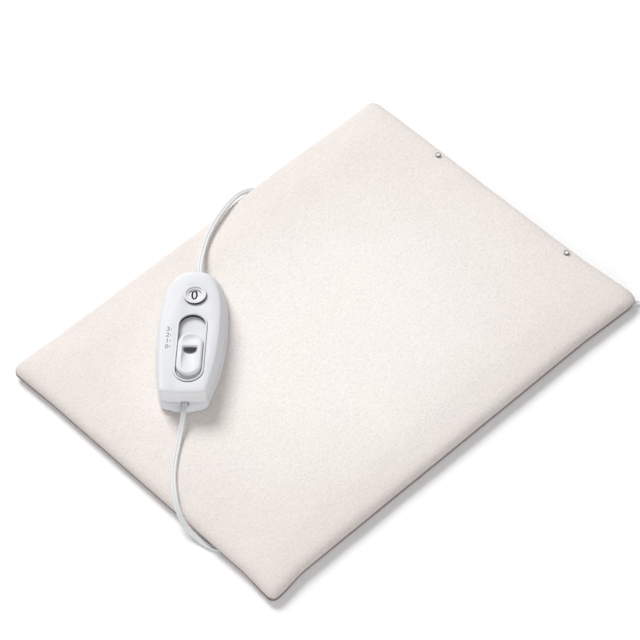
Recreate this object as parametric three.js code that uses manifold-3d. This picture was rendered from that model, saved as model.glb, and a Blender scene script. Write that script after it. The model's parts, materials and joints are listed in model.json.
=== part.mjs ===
// Heating pad in a snap-closed fleece cover, with a hand controller on its cord.
// Millimetres, +Z up. The origin is the middle of the pad's underside, +X runs along its long side.
import * as THREE from 'three';
import { mergeVertices } from 'three/addons/utils/BufferGeometryUtils.js';
import Module from 'manifold-3d';

const wasm = await Module();
wasm.setup();

// Clearances that every piece shares
const seatGap = 0.3; // between two pieces that touch
const overrun = 3; // how far a cutting tool runs past the face that it cuts

// The pad: a crowned cushion with soft rolled edges
const padLength = 400;
const padWidth = 300;
const padEdgeHeight = 12.6; // where the rolled edge turns into the top
const padCrown = 2.4; // further rise of the middle
const padCornerRadius = 5;
const padDrawIn = 0.8; // how far the sides pull in between the corners
const padRollDepth = 7.6; // how far the rolled edge reaches inwards
const padCrownReach = 46; // where the crown levels out, from the roll
const coverWall = 1.6;
const padTop = padEdgeHeight + padCrown;
const rollShares = [[1.5, 0], [0.66, 0.035], [0.2, 0.2], [0, 0.46], [0.1, 0.74], [0.42, 0.93], [1, 1]];
const crownShares = [[0.28, 0.42], [0.62, 0.82], [1, 1]];
const padSideSteps = 7;
const padCornerSteps = 4;
const padCornerGrowthShare = 0.5; // inner rings get rounder corners by this share of their inset

// Heating element between the two felt layers
const wireRadius = 0.8;
const wireHeight = 8.7;
const wireRows = 8;
const wireRowPitch = 30;
const wireEndInset = 28; // from the ends of the pad to the turns
const thermostatLength = 13;
const thermostatWidth = 6;
const thermostatHeight = 4.4;
const thermostatShares = [[-0.225, -1], [0.175, 1]]; // along the pad, and of the rows' pitch across it

// Press studs that close the cover's mouth, at the +X end
const studRadius = 2.9;
const studHeight = 1.1;
const studHoleRadius = 1.15;
const studPostRadius = 0.85;
const studSocketHeight = 1.7;
const studEdgeInset = 9;
const studPlaceShares = [0.22, -0.267]; // across the pad
const mouthLength = 236;
const mouthGap = 0.6;
const mouthHeight = 3.4;

// Flat two-core cord
const cordWidth = 4.4;
const cordThickness = 2.4;
const cordHoleGap = 0.9; // around the cord where it passes a wall

// Controller: a long oval box, narrower at the tail, lying on the pad
const boxNose = 65.2; // from its local origin to the window end
const boxTail = 66.2;
const boxHalfWidth = 28.1;
const boxTailHalfWidth = 17.8;
const boxHeight = 24;
const boxWall = 2;
const boxTailCorner = 8;
const boxTailBulge = 2.6;
const boxNosePower = 2.7;
const boxSidePower = 2;
const boxShift = 1.6; // the body's middle line lies to the left of the slider's
const boxTailSway = 1.8; // and further so at its tail
const boxPlace = [-84.9, 62.1];
const boxTurn = THREE.MathUtils.degToRad(43.5);
const boxBase = padTop + seatGap;
// One row a height, from the base over the flared lip and the parting line to the top. Each is a share of its size:
// height, nose, half width, tail, tail half width, tail bulge, tail corner
const boxSectionShares = [
  [0, 0.92, 0.897, 0.937, 0.854, 0.8, 0.9],
  [0.0625, 0.969, 0.968, 0.986, 0.955, 1, 1],
  [0.1875, 1, 1, 1, 0.994, 1, 1],
  [0.3, 0.997, 0.982, 0.982, 0.989, 0.9, 0.95],
  [0.396, 0.982, 0.947, 0.955, 1, 0.4, 0.45],
  [0.583, 0.945, 0.915, 0.952, 1, 0.35, 0.4],
  [0.771, 0.89, 0.875, 0.953, 1, 0.35, 0.4],
  [0.908, 0.831, 0.836, 0.955, 0.994, 0.35, 0.4],
  [0.967, 0.791, 0.815, 0.953, 0.989, 0.35, 0.4],
  [1, 0.748, 0.744, 0.934, 0.925, 0.35, 0.4],
];
const partingRow = 4;
const partingHeight = boxHeight * boxSectionShares[partingRow][0];
const partingNose = boxNose * boxSectionShares[partingRow][1];
const partingTail = boxTail * boxSectionShares[partingRow][3];
const noseCordLine = -0.4; // how far each cord leaves from the slider's middle line
const tailCordLine = 1.8;

// Slider: recess in the top face, knob, and what it carries below
const levelPitch = 6;
const levelCount = 4;
const sliderTravel = levelPitch * (levelCount - 1);
const recessFrom = -54.4; // tail end of the recess
const recessTo = 12.6;
const recessHalfWidth = 11.3;
const recessDepth = 3.6;
const recessFloor = boxHeight - recessDepth;
const recessWall = 1.6;
const knobLength = 41.2;
const knobHalfWidth = 10.3;
const knobFlange = 1.1; // flange beyond the knob's two ends
const knobFlangeSide = 0.6;
const knobFlangeHeight = 1.3;
const knobRise = 6.4; // above the recess floor
const knobRounding = 1.8;
const knobDraft = 0.5;
const knobCentre = -28.2;
const scoopFrom = 7.2; // from the knob's middle towards the nose, to the step below its crest
const crestWidth = 1.4;
const hollowHalfWidth = 6; // of the scoop and of the bowl beyond the crest
const hollowEndInset = 2.8; // from the knob's ends
const scoopDepth = 4.2;
const bowlDepth = 1.7;
// One row a station of a hollow, from the crest to its end: place, half width and depth
const scoopShares = [[0, 1, 1], [0.2, 1, 0.95], [0.45, 1, 0.72], [0.68, 0.98, 0.42], [0.84, 0.88, 0.22], [0.95, 0.6, 0.1],
  [1, 0.3, 0.04]];
const bowlShares = [[0, 0.9, 0.12], [0.25, 1, 0.4], [0.5, 1, 0.75], [0.7, 0.93, 1], [0.86, 0.75, 0.95], [0.96, 0.5, 0.6],
  [1, 0.28, 0.2]];
const stemLength = 7;
const stemWidth = 6;
const stemSlotGap = 0.35;

// Window with its magnifier
const windowPlace = 30.4;
const bezelRadius = 9;
const bezelRise = 1.8;
const bezelLip = 1.7;
const bezelDish = 1.1; // step down inside the lip, to the ledge round the magnifier
const bezelSpigotRadius = 7.6;
const bezelSpigotDepth = 5;
const lensRadius = 5.6;
const lensCurve = 11;
const lensEdge = 4.6;
const lensLedge = 0.7; // ledge under the lens
const lensLedgeHeight = 0.5;

// Inside the controller
const boardBottom = 5;
const boardThickness = 1.6;
const boardTailInset = 22; // from the ends of the controller to the board
const boardNoseInset = 22.5;
const boardHalfWidth = 17;
const boardFrom = boardTailInset - boxTail;
const boardTo = boxNose - boardNoseInset;
const boardTop = boardBottom + boardThickness;
const leadedRow = 11; // how far from the middle the wired parts lie
const fuse = { radius: 2.2, length: 14, alongShare: 0.16 };
const diode = { radius: 1.7, length: 8, alongShare: 0.37 };
const resistor = { radius: 1.5, length: 9, alongShare: 0.55 };
const carriageThickness = 2.6;
const carriageLength = 40;
const carriageHalfWidth = 10.4;
const notchDepth = 0.8;
const stripThickness = 1;
const stripHalfWidth = 4.4;
const stripOverlap = 14; // how far the strip lies in the carriage
const stripEnd = 6.6; // beyond the window's middle
const bridgeWidth = 3.8;
const bridgeThickness = 0.4;
const bridgeLength = 18;
const bridgeOffset = 5; // from the knob's middle to the foot that rides on the contacts
const bridgeShares = [[-0.17, 0.1], [0, 0], [0.17, 0.1], [0.54, 0.94], [0.63, 1], [0.83, 1]];
const contactLength = 4.4;
const contactThickness = 0.5;
const lampRoomShare = 0.65; // of the room between the board and the strip
const lampLength = 12;
const screwRadius = 1.5;
const screwHeadRadius = 2.8;
const screwHeadHeight = 1.9;
const screwLength = 13.6;
const screwHeadInset = 0.5;
const bossRadius = 3.6;
const bossNoseInset = 18;
const bossNoseOffset = 14;
const bossTailInset = 13.4;
const bossTailOffset = 13.4;
const clampInset = 10.8; // from the ends of the controller
const clampLength = 5;
const clampHalfWidth = 8.6;
const clampHeight = 3;
const clampScrewRadius = 1.1;
const clampScrewHeadRadius = 2;
const clampScrewHeadHeight = 1.1;
const clampScrewOffset = 6;
const clampScrewDepth = 3.2;

// Plug: flat two-pin mains plug, lying on the floor
const plugWidth = 35.3;
const plugThickness = 13.7;
const plugLength = 36;
const plugWaist = 22; // width at the cord end
const plugPinSpacing = 19;
const plugPinRadius = 2;
const plugPinLength = 19;
const plugPinRoot = 5;
const bootLength = 25;
const bootRootWidth = 12;
const bootRootThickness = 9.4;
const bootTipWidth = 6.8;
const bootTipThickness = 4.8;
const floorGap = 0.1;

// Coil of the length that is put away
const coilOuterRadius = 33.2; // middle of the outermost turn
const coilSteps = 196;
const coilStepsPerTurn = 24;
const coilTurnGap = 1.1; // between neighbouring turns of a layer
const coilLayerGap = 0.9;
const coilClimbTurns = 0.25; // the climb to the upper layer, where the spiral turns round
const coilLeadIn = 30;
const coilLeadOut = 34;
const tieThickness = 1;
const tieWidth = 9;
const tieSlack = 1.1;

// Routes of the free cords, chosen by hand
const padCordRoute = [
  [-50.5, 94.2, 24.8], [-45.5, 99, 24.8], [-41.1, 103.1, 24.8], [-36.8, 107.2, 24.7], [-32.5, 111.4, 24.1],
  [-27.9, 115.8, 22.7], [-22.6, 120.5, 20.6], [-16.4, 125.6, 18.5], [-9, 131, 17.2],
  [-0.5, 136, 16.6], [8.6, 140.5, 16.2], [18.3, 144.4, 15.9], [27.9, 147.5, 15.1],
  [36.9, 150.2, 13.7], [45, 152.1, 11.7], [52.2, 152.6, 9.4], [58.7, 151.2, 7.8], [64, 147, 7.1],
  [68.4, 142.4, 7], [72.6, 138, 7],
];
const mainsCordRoute = [
  [-120.3, 31, 24.8], [-124.6, 26.9, 24.8], [-129, 22.8, 24.8], [-133.4, 18.7, 24.8], [-137.8, 14.9, 24.3],
  [-142.2, 11.3, 22.6], [-147.3, 7.3, 20.1], [-153.4, 2.8, 18], [-161, -2.9, 16.9],
  [-169.6, -9.9, 16.5], [-178, -17.2, 16], [-185.3, -24.9, 15.5], [-191.1, -32.6, 15.1],
  [-195.9, -39.6, 14.3], [-199.4, -46.2, 12.6], [-201.6, -53.2, 9.2], [-202, -61, 5.2], [-201.4, -69, 2.7],
  [-200.2, -77, 1.7], [-197.4, -84.6, 1.6], [-192.4, -90.9, 1.6], [-185, -95.7, 1.6],
  [-174, -99, 1.6], [-110, -103.6, 1.6], [-20, -108.6, 1.6], [80, -114.6, 1.6],
  [140, -119.6, 1.6], [166, -124.2, 1.6], [184, -132.4, 1.6], [195, -143.2, 1.6], [201.8, -150.6, 1.6],
  [208.6, -157.9, 1.6],
];
const underPadFrom = 18; // the first route point that lies beside the pad's foot
const channelGap = 1.2;

// Materials, by the finish that each piece shows
const finishes = {
  fleece: { color: '#efe4da', roughness: 0.95, metalness: 0 },
  felt: { color: '#d9d4c8', roughness: 1, metalness: 0 },
  whitePlastic: { color: '#e6e7ec', roughness: 0.42, metalness: 0 },
  cordVinyl: { color: '#dfe2e3', roughness: 0.5, metalness: 0 },
  steel: { color: '#9a9a9c', roughness: 0.35, metalness: 1 },
  brass: { color: '#b5984f', roughness: 0.35, metalness: 1 },
  board: { color: '#8a7442', roughness: 0.7, metalness: 0 },
  darkPlastic: { color: '#35363a', roughness: 0.5, metalness: 0 },
  clear: { color: '#e9eef0', roughness: 0.08, metalness: 0 },
  lampGlass: { color: '#d9806a', roughness: 0.2, metalness: 0 },
  silicone: { color: '#a8362c', roughness: 0.6, metalness: 0 },
  ceramic: { color: '#c9bfa6', roughness: 0.6, metalness: 0 },
};

const part = new THREE.Group();
const controller = new THREE.Group();
controller.position.set(boxPlace[0], boxPlace[1], boxBase);
controller.rotation.z = boxTurn;
part.add(controller);

// Adds a named mesh with its own material to a group
function place(group, name, geometry, finish) {
  const mesh = new THREE.Mesh(geometry, new THREE.MeshStandardMaterial(finishes[finish]));
  mesh.name = name;
  group.add(mesh);
  return mesh;
}

// A closed geometry as a solid for cutting and joining
function solid(geometry) {
  const bare = geometry.index ? geometry.clone() : geometry;
  bare.deleteAttribute('normal');
  bare.deleteAttribute('uv');
  const merged = mergeVertices(bare, 1e-4);
  const mesh = new wasm.Mesh({
    numProp: 3,
    vertProperties: new Float32Array(merged.attributes.position.array),
    triVerts: new Uint32Array(merged.index.array),
  });
  return new wasm.Manifold(mesh);
}

// A solid back as a geometry
function geometryOf(manifold) {
  const mesh = manifold.getMesh();
  const geometry = new THREE.BufferGeometry();
  geometry.setAttribute('position', new THREE.BufferAttribute(new Float32Array(mesh.vertProperties), 3));
  geometry.setIndex(new THREE.BufferAttribute(new Uint32Array(mesh.triVerts), 1));
  return geometry;
}

// A closed skin over rings of equal count, counterclockwise seen from the end that they run towards
function loft(rings) {
  const count = rings[0].length;
  const points = rings.flat();
  const faces = [];
  for (let ring = 0; ring + 1 < rings.length; ring += 1) {
    for (let step = 0; step < count; step += 1) {
      const here = ring * count + step;
      const next = ring * count + ((step + 1) % count);
      faces.push(here, next, next + count, here, next + count, here + count);
    }
  }
  const ends = [[0, -1], [rings.length - 1, 1]];
  for (const [ring, side] of ends) {
    const middle = new THREE.Vector3();
    rings[ring].forEach((point) => middle.addScaledVector(point, 1 / count));
    const hub = points.push(middle) - 1;
    for (let step = 0; step < count; step += 1) {
      const here = ring * count + step;
      const next = ring * count + ((step + 1) % count);
      if (side > 0) faces.push(hub, here, next);
      else faces.push(hub, next, here);
    }
  }
  const geometry = new THREE.BufferGeometry().setFromPoints(points);
  geometry.setIndex(faces);
  return geometry;
}

// A box between two corners
function block(x0, x1, y0, y1, z0, z1) {
  const box = new THREE.BoxGeometry(x1 - x0, y1 - y0, z1 - z0);
  return box.translate((x0 + x1) / 2, (y0 + y1) / 2, (z0 + z1) / 2);
}

// An upright cylinder
function post(radius, x, y, z0, z1, steps = 16) {
  const cylinder = new THREE.CylinderGeometry(radius, radius, z1 - z0, steps);
  return cylinder.rotateX(Math.PI / 2).translate(x, y, (z0 + z1) / 2);
}

// A shape extruded upwards from z0 to z1
function prism(shape, z0, z1, steps = 12) {
  const settings = { depth: z1 - z0, bevelEnabled: false, curveSegments: steps };
  return new THREE.ExtrudeGeometry(shape, settings).translate(0, 0, z0);
}

// A rectangle with half-round ends, along X
function stadium(x0, x1, halfWidth) {
  const shape = new THREE.Shape();
  shape.moveTo(x0 + halfWidth, -halfWidth);
  shape.lineTo(x1 - halfWidth, -halfWidth);
  shape.absarc(x1 - halfWidth, 0, halfWidth, -Math.PI / 2, Math.PI / 2, false);
  shape.lineTo(x0 + halfWidth, halfWidth);
  shape.absarc(x0 + halfWidth, 0, halfWidth, Math.PI / 2, Math.PI * 1.5, false);
  return shape;
}

// A shape drawn in X and Z, extruded along Y between two places
function sidePrism(shape, y0, y1, steps = 8) {
  const settings = { depth: y1 - y0, bevelEnabled: false, curveSegments: steps };
  return new THREE.ExtrudeGeometry(shape, settings).rotateX(Math.PI / 2).translate(0, y1, 0);
}

// The outline of a thin bent strip around a line of points
function bentStrip(points, thickness) {
  const line = points.map(([x, y]) => new THREE.Vector2(x, y));
  const sides = [[], []];
  line.forEach((point, index) => {
    const before = line[Math.max(index - 1, 0)];
    const after = line[Math.min(index + 1, line.length - 1)];
    const along = after.clone().sub(before).normalize();
    const across = new THREE.Vector2(-along.y, along.x).multiplyScalar(thickness / 2);
    sides[0].push(point.clone().add(across));
    sides[1].push(point.clone().sub(across));
  });
  return new THREE.Shape([...sides[0], ...sides[1].reverse()]);
}

// Rings of the cord's section along its middle line, its width level at no tilt and upright at full tilt
function cordRings(line, section) {
  return line.map(({ middle, along, tilt }) => {
    const level = new THREE.Vector3(-along.y, along.x, 0).normalize();
    const up = along.clone().cross(level);
    const angle = (tilt * Math.PI) / 2;
    const wide = level.clone().multiplyScalar(Math.cos(angle)).addScaledVector(up, Math.sin(angle));
    const thin = wide.clone().cross(along);
    return section.map(([x, y]) => middle.clone().addScaledVector(thin, x).addScaledVector(wide, y));
  });
}

function smoothRoute(points) {
  return new THREE.CatmullRomCurve3(points.map((point) => new THREE.Vector3(...point)), false, 'centripetal');
}

// The cord's eight-sided section, its thickness along the first axis and its width along the second
function cordSection() {
  const w = cordWidth / 2;
  const t = cordThickness / 2;
  const flat = 0.62;
  const side = 0.4;
  return [
    [t, -w * flat], [t, w * flat], [t * side, w], [-t * side, w],
    [-t, w * flat], [-t, -w * flat], [-t * side, -w], [t * side, -w],
  ];
}

// Pad outline at an inset and a height: a rectangle with round corners and sides drawn in between them
function padRing(inset, height) {
  const halfLength = padLength / 2 - inset;
  const halfWidth = padWidth / 2 - inset;
  const radius = padCornerRadius + Math.max(inset, 0) * padCornerGrowthShare;
  const centres = [[1, -1], [1, 1], [-1, 1], [-1, -1]];
  const points = [];
  centres.forEach(([sideX, sideY], corner) => {
    const centre = [sideX * (halfLength - radius), sideY * (halfWidth - radius)];
    for (let step = 0; step <= padCornerSteps; step += 1) {
      const angle = (corner - 1 + step / padCornerSteps) * (Math.PI / 2);
      points.push([centre[0] + radius * Math.cos(angle), centre[1] + radius * Math.sin(angle)]);
    }
    const from = points[points.length - 1];
    const nextSides = centres[(corner + 1) % centres.length];
    const nextCentre = [nextSides[0] * (halfLength - radius), nextSides[1] * (halfWidth - radius)];
    const angle = corner * (Math.PI / 2);
    const to = [nextCentre[0] + radius * Math.cos(angle), nextCentre[1] + radius * Math.sin(angle)];
    for (let step = 1; step < padSideSteps; step += 1) {
      const share = step / padSideSteps;
      points.push([from[0] + (to[0] - from[0]) * share, from[1] + (to[1] - from[1]) * share]);
    }
  });
  return points.map(([x, y]) => {
    const pullX = (padDrawIn / halfLength) * (1 - (y / halfWidth) ** 2);
    const pullY = (padDrawIn / halfWidth) * (1 - (x / halfLength) ** 2);
    return new THREE.Vector3(x * (1 - pullX), y * (1 - pullY), height);
  });
}

// The pad's form, shrunk all over by a margin
function padForm(margin) {
  const low = margin;
  const high = padEdgeHeight - margin;
  const rings = rollShares.map(([inset, height]) => (
    padRing(margin + inset * padRollDepth, low + height * (high - low))
  ));
  for (const [reach, rise] of crownShares) {
    rings.push(padRing(margin + padRollDepth + reach * padCrownReach, high + rise * padCrown));
  }
  return loft(rings);
}

// Height of the form's top at an inset from the pad's edge, from the same profile
function padHeightAt(inset, margin) {
  const high = padEdgeHeight - margin;
  const profile = rollShares.slice(3).map(([share, height]) => (
    [margin + share * padRollDepth, margin + height * (high - margin)]
  ));
  for (const [reach, rise] of crownShares) {
    profile.push([margin + padRollDepth + reach * padCrownReach, high + rise * padCrown]);
  }
  for (let index = 1; index < profile.length; index += 1) {
    const [x0, z0] = profile[index - 1];
    const [x1, z1] = profile[index];
    if (inset <= x1) return z0 + ((z1 - z0) * (inset - x0)) / (x1 - x0);
  }
  return padTop - margin;
}

// The way that the mains cord takes under the pad, as a flat tunnel of a given width and height
function cordTunnel(width, height) {
  const route = smoothRoute(mainsCordRoute.slice(underPadFrom).map(([x, y]) => [x, y, 0]));
  const steps = 3 * (mainsCordRoute.length - underPadFrom - 1);
  const section = [[height, -width / 2], [height, width / 2], [-height, width / 2], [-height, -width / 2]];
  const line = [];
  for (let step = 0; step <= steps; step += 1) {
    line.push({ middle: route.getPoint(step / steps), along: route.getTangent(step / steps), tilt: 0 });
  }
  return loft(cordRings(line, section));
}

// Opening for the pad cord in the cover's side, along the cord's last stretch
function padCordEntry() {
  const [from, to] = padCordRoute.slice(-4, -2).map((point) => new THREE.Vector3(...point));
  const along = to.clone().sub(from).normalize();
  const start = from.clone().addScaledVector(along, -cordWidth);
  const radius = cordWidth / 2 + cordHoleGap;
  const length = from.distanceTo(to) + cordWidth * 2;
  const cylinder = new THREE.CylinderGeometry(radius, radius, length, 16).translate(0, length / 2, 0);
  cylinder.applyQuaternion(new THREE.Quaternion().setFromUnitVectors(new THREE.Vector3(0, 1, 0), along));
  return cylinder.translate(start.x, start.y, start.z);
}

// Moulded block that grips the pad cord's end inside the pad
const entryLength = 20;
const entryHalfWidth = 5;
const entryHalfHeight = 2.6;
const entryInset = 2; // from the last route point but one to the block's mouth
const entryBoreDepth = 6;

function entryFrame() {
  const [from, to] = padCordRoute.slice(-2).map((point) => new THREE.Vector3(...point));
  const turn = Math.atan2(to.y - from.y, to.x - from.x);
  return { from, turn };
}

function inEntryFrame(geometry) {
  const { from, turn } = entryFrame();
  return geometry.rotateZ(turn).translate(from.x, from.y, from.z);
}

function cordEntryBlock() {
  const body = solid(block(entryInset, entryInset + entryLength, -entryHalfWidth, entryHalfWidth,
    -entryHalfHeight, entryHalfHeight));
  const halfWide = cordWidth / 2 + seatGap;
  const halfThick = cordThickness / 2 + seatGap;
  const bore = solid(block(entryInset - overrun, entryInset + entryBoreDepth, -halfWide, halfWide,
    -halfThick, halfThick));
  return inEntryFrame(geometryOf(body.subtract(bore)));
}

function cordEntryPocket() {
  return inEntryFrame(block(-cordWidth * 2, entryInset + entryLength + seatGap, -entryHalfWidth - seatGap,
    entryHalfWidth + seatGap, -entryHalfHeight - seatGap, entryHalfHeight + seatGap));
}

// Places of the press studs: where the cap rests on the cover, and where its socket ends under it
function studSeats() {
  const x = padLength / 2 - studEdgeInset;
  const capSeat = padHeightAt(studEdgeInset + studRadius, 0) + seatGap;
  const socketTop = padHeightAt(studEdgeInset - studRadius, coverWall) - seatGap;
  return studPlaceShares.map((share) => ({ x, y: share * padWidth, capSeat, socketTop }));
}

// Fleece bag: crowned outside, hollow, open along its mouth at the +X end
function buildCover() {
  const tunnelWidth = cordWidth + 2 * (channelGap + coverWall);
  const channelHeight = cordThickness + channelGap + seatGap;
  const ridge = solid(cordTunnel(tunnelWidth, channelHeight + coverWall));
  const hollow = solid(padForm(coverWall)).subtract(ridge);
  const mouth = solid(block(padLength / 2 - padRollDepth, padLength / 2 + overrun, -mouthLength / 2,
    mouthLength / 2, mouthHeight, mouthHeight + mouthGap));
  let cover = solid(padForm(0)).subtract(hollow).subtract(mouth);
  cover = cover.subtract(solid(cordTunnel(cordWidth + 2 * channelGap, channelHeight)));
  cover = cover.subtract(solid(padCordEntry()));
  for (const { x, y, capSeat, socketTop } of studSeats()) {
    cover = cover.subtract(solid(post(studHoleRadius, x, y, socketTop - overrun, capSeat + overrun, 12)));
  }
  place(part, 'fleece_cover', geometryOf(cover), 'fleece');
}

// Serpentine heating wire, rows along X with half-round turns
function wireRoute() {
  const path = new THREE.CurvePath();
  const reach = padLength / 2 - wireEndInset;
  const first = (-wireRowPitch * (wireRows - 1)) / 2;
  const turnSteps = 6;
  for (let row = 0; row < wireRows; row += 1) {
    const y = first + row * wireRowPitch;
    const way = row % 2 === 0 ? 1 : -1;
    const from = new THREE.Vector3(-way * reach, y, wireHeight);
    const to = new THREE.Vector3(way * reach, y, wireHeight);
    path.add(new THREE.LineCurve3(from, to));
    if (row + 1 === wireRows) break;
    const radius = wireRowPitch / 2;
    let last = to;
    for (let step = 1; step <= turnSteps; step += 1) {
      const angle = -Math.PI / 2 + (Math.PI * step) / turnSteps;
      const next = new THREE.Vector3(to.x + way * radius * Math.cos(angle), y + radius + radius * Math.sin(angle),
        wireHeight);
      path.add(new THREE.LineCurve3(last, next));
      last = next;
    }
  }
  return path;
}

// The wire as one tube, a ring of points at each corner of its route
function wireTube() {
  const corners = wireRoute().curves.map((curve) => curve.v1);
  corners.push(wireRoute().curves.at(-1).v2);
  const sides = 6;
  const rings = corners.map((corner, index) => {
    const before = corners[Math.max(index - 1, 0)];
    const after = corners[Math.min(index + 1, corners.length - 1)];
    const arriving = corner.clone().sub(before).normalize();
    const leaving = after.clone().sub(corner).normalize();
    const along = arriving.add(leaving).normalize();
    const across = new THREE.Vector3(-along.y, along.x, 0);
    const ring = [];
    for (let side = 0; side < sides; side += 1) {
      const angle = (2 * Math.PI * side) / sides;
      const point = corner.clone().addScaledVector(across, wireRadius * Math.cos(angle));
      point.z += wireRadius * Math.sin(angle);
      ring.push(point);
    }
    return ring;
  });
  return loft(rings);
}

function thermostatPocket([alongShare, acrossShare], gap) {
  const x = alongShare * padLength;
  const y = acrossShare * wireRowPitch;
  return block(x - thermostatLength / 2 - gap, x + thermostatLength / 2 + gap, y - thermostatWidth / 2 - gap,
    y + thermostatWidth / 2 + gap, wireHeight - thermostatHeight / 2 - gap, wireHeight + thermostatHeight / 2 + gap);
}

// Two felt layers that fill the cover, with the wire and the overheat cut-outs between them
function buildElement() {
  const channelHeight = cordThickness + channelGap + seatGap;
  const ridge = solid(cordTunnel(cordWidth + 2 * (channelGap + coverWall + seatGap),
    channelHeight + coverWall + seatGap));
  const filling = solid(padForm(coverWall + seatGap));
  const below = wireHeight - wireRadius - seatGap;
  const above = wireHeight + wireRadius + seatGap;
  const slab = (z0, z1) => solid(block(-padLength / 2, padLength / 2, -padWidth / 2, padWidth / 2, z0, z1));
  let lower = filling.intersect(slab(0, below)).subtract(ridge);
  let upper = filling.intersect(slab(above, padTop));
  for (const seat of thermostatShares) {
    const pocket = solid(thermostatPocket(seat, seatGap));
    lower = lower.subtract(pocket);
    upper = upper.subtract(pocket);
  }
  const entry = solid(cordEntryPocket());
  lower = lower.subtract(entry);
  upper = upper.subtract(entry);
  for (const { x, y, socketTop } of studSeats()) {
    const pocket = post(studRadius + seatGap, x, y, socketTop - studSocketHeight - seatGap, socketTop + overrun, 16);
    upper = upper.subtract(solid(pocket));
  }
  place(part, 'felt_layer_lower', geometryOf(lower), 'felt');
  place(part, 'felt_layer_upper', geometryOf(upper), 'felt');
  place(part, 'heating_wire', wireTube(), 'silicone');
  thermostatShares.forEach((seat, index) => {
    place(part, `overheat_cutout_${index + 1}`, thermostatPocket(seat, 0), 'ceramic');
  });
  place(part, 'pad_cord_entry_block', cordEntryBlock(), 'whitePlastic');
}

// Press stud: a ringed cap with its post on top of the fleece, and a socket under it
function buildStuds() {
  studSeats().forEach(({ x, y, capSeat, socketTop }, index) => {
    const rim = studRadius * 0.62;
    const socketBottom = socketTop - studSocketHeight;
    const cap = [
      [0, socketBottom], [studPostRadius, socketBottom], [studPostRadius, capSeat], [studRadius, capSeat],
      [studRadius, capSeat + studHeight * 0.6], [studRadius * 0.86, capSeat + studHeight],
      [rim, capSeat + studHeight], [rim * 0.9, capSeat + studHeight * 0.5], [0, capSeat + studHeight * 0.75],
    ].map(([r, h]) => new THREE.Vector2(r, h));
    const capGeometry = new THREE.LatheGeometry(cap, 16).rotateX(Math.PI / 2).translate(x, y, 0);
    place(part, `press_stud_cap_${index + 1}`, capGeometry, 'steel');
    const inner = studPostRadius + seatGap;
    const socket = [
      [inner, socketBottom], [studRadius, socketBottom], [studRadius, socketTop], [inner, socketTop],
      [inner, socketBottom],
    ];
    const socketGeometry = new THREE.LatheGeometry(socket.map(([r, h]) => new THREE.Vector2(r, h)), 16);
    place(part, `press_stud_socket_${index + 1}`, socketGeometry.rotateX(Math.PI / 2).translate(x, y, 0), 'steel');
  });
}

// How far the body's middle line lies off the slider's, at a place along it
function bodyMiddle(x) {
  return boxShift + boxTailSway * (Math.min(x, 0) / boxTail) ** 2;
}

// Controller outline at one height, in from the outer skin by a margin
function boxRing(row, margin, height) {
  const [, noseShare, halfShare, tailShare, tailHalfShare, bulgeShare, cornerShare] = row;
  const nose = boxNose * noseShare - margin;
  const half = boxHalfWidth * halfShare - margin;
  const tail = boxTail * tailShare - margin;
  const tailHalf = boxTailHalfWidth * tailHalfShare - margin;
  const bulge = boxTailBulge * bulgeShare;
  const corner = boxTailCorner * cornerShare;
  const noseSteps = 16;
  const sideSteps = 5;
  const cornerSteps = 3;
  const endSteps = 4;
  const points = [];
  for (let step = 0; step < noseSteps; step += 1) {
    const angle = -Math.PI / 2 + (Math.PI * step) / noseSteps;
    const x = nose * Math.abs(Math.cos(angle)) ** (2 / boxNosePower);
    const y = half * Math.sign(Math.sin(angle)) * Math.abs(Math.sin(angle)) ** (2 / boxNosePower);
    points.push([x, y]);
  }
  const left = [];
  const straight = tail - corner;
  const widthAt = (x) => half - (half - tailHalf) * (Math.abs(x) / tail) ** boxSidePower;
  for (let step = 0; step < sideSteps; step += 1) {
    const x = (-straight * step) / sideSteps;
    left.push([x, widthAt(x)]);
  }
  const cornerY = widthAt(straight) - corner;
  for (let step = 0; step <= cornerSteps; step += 1) {
    const angle = Math.PI / 2 + (Math.PI / 2) * (step / cornerSteps);
    left.push([-straight + corner * Math.cos(angle), cornerY + corner * Math.sin(angle)]);
  }
  for (let step = 1; step <= endSteps / 2; step += 1) {
    const y = cornerY * (1 - (2 * step) / endSteps);
    left.push([-tail - bulge * (1 - (y / cornerY) ** 2), y]);
  }
  const right = left.slice(1, -1).reverse().map(([x, y]) => [x, -y]);
  points.push(...left, ...right);
  return points.map(([x, y]) => new THREE.Vector3(x, y + bodyMiddle(x), height));
}

const topRows = boxSectionShares.slice(partingRow);
const bottomRows = boxSectionShares.slice(0, partingRow + 1);

// The upper shell's outside, or its hollow when there is a margin
function upperForm(margin) {
  const foot = partingHeight + seatGap / 2;
  const squeeze = (boxHeight - margin - foot) / (boxHeight - foot);
  const rings = topRows.map((row, index) => {
    const height = index === 0 ? foot : foot + (boxHeight * row[0] - foot) * squeeze;
    return boxRing(row, margin, height);
  });
  if (margin > 0) rings.unshift(boxRing(topRows[0], margin, foot - overrun));
  return loft(rings);
}

// The lower shell's outside, or its hollow when there is a margin
function lowerForm(margin) {
  const rim = partingHeight - seatGap / 2;
  const squeeze = (rim - margin) / rim;
  const rings = bottomRows.map((row, index) => {
    const height = index === partingRow ? rim : margin + boxHeight * row[0] * squeeze;
    return boxRing(row, margin, height);
  });
  if (margin > 0) rings.push(boxRing(bottomRows[partingRow], margin, rim + overrun));
  return loft(rings);
}

const housingScrewPlaces = [-1, 1].flatMap((side) => [
  [boxNose - bossNoseInset, bossNoseOffset],
  [bossTailInset - boxTail, bossTailOffset],
].map(([x, offset]) => [x, bodyMiddle(x) + side * offset]));
const clampPlaces = [[boxNose - clampInset, noseCordLine], [clampInset - boxTail, tailCordLine]];

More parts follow.
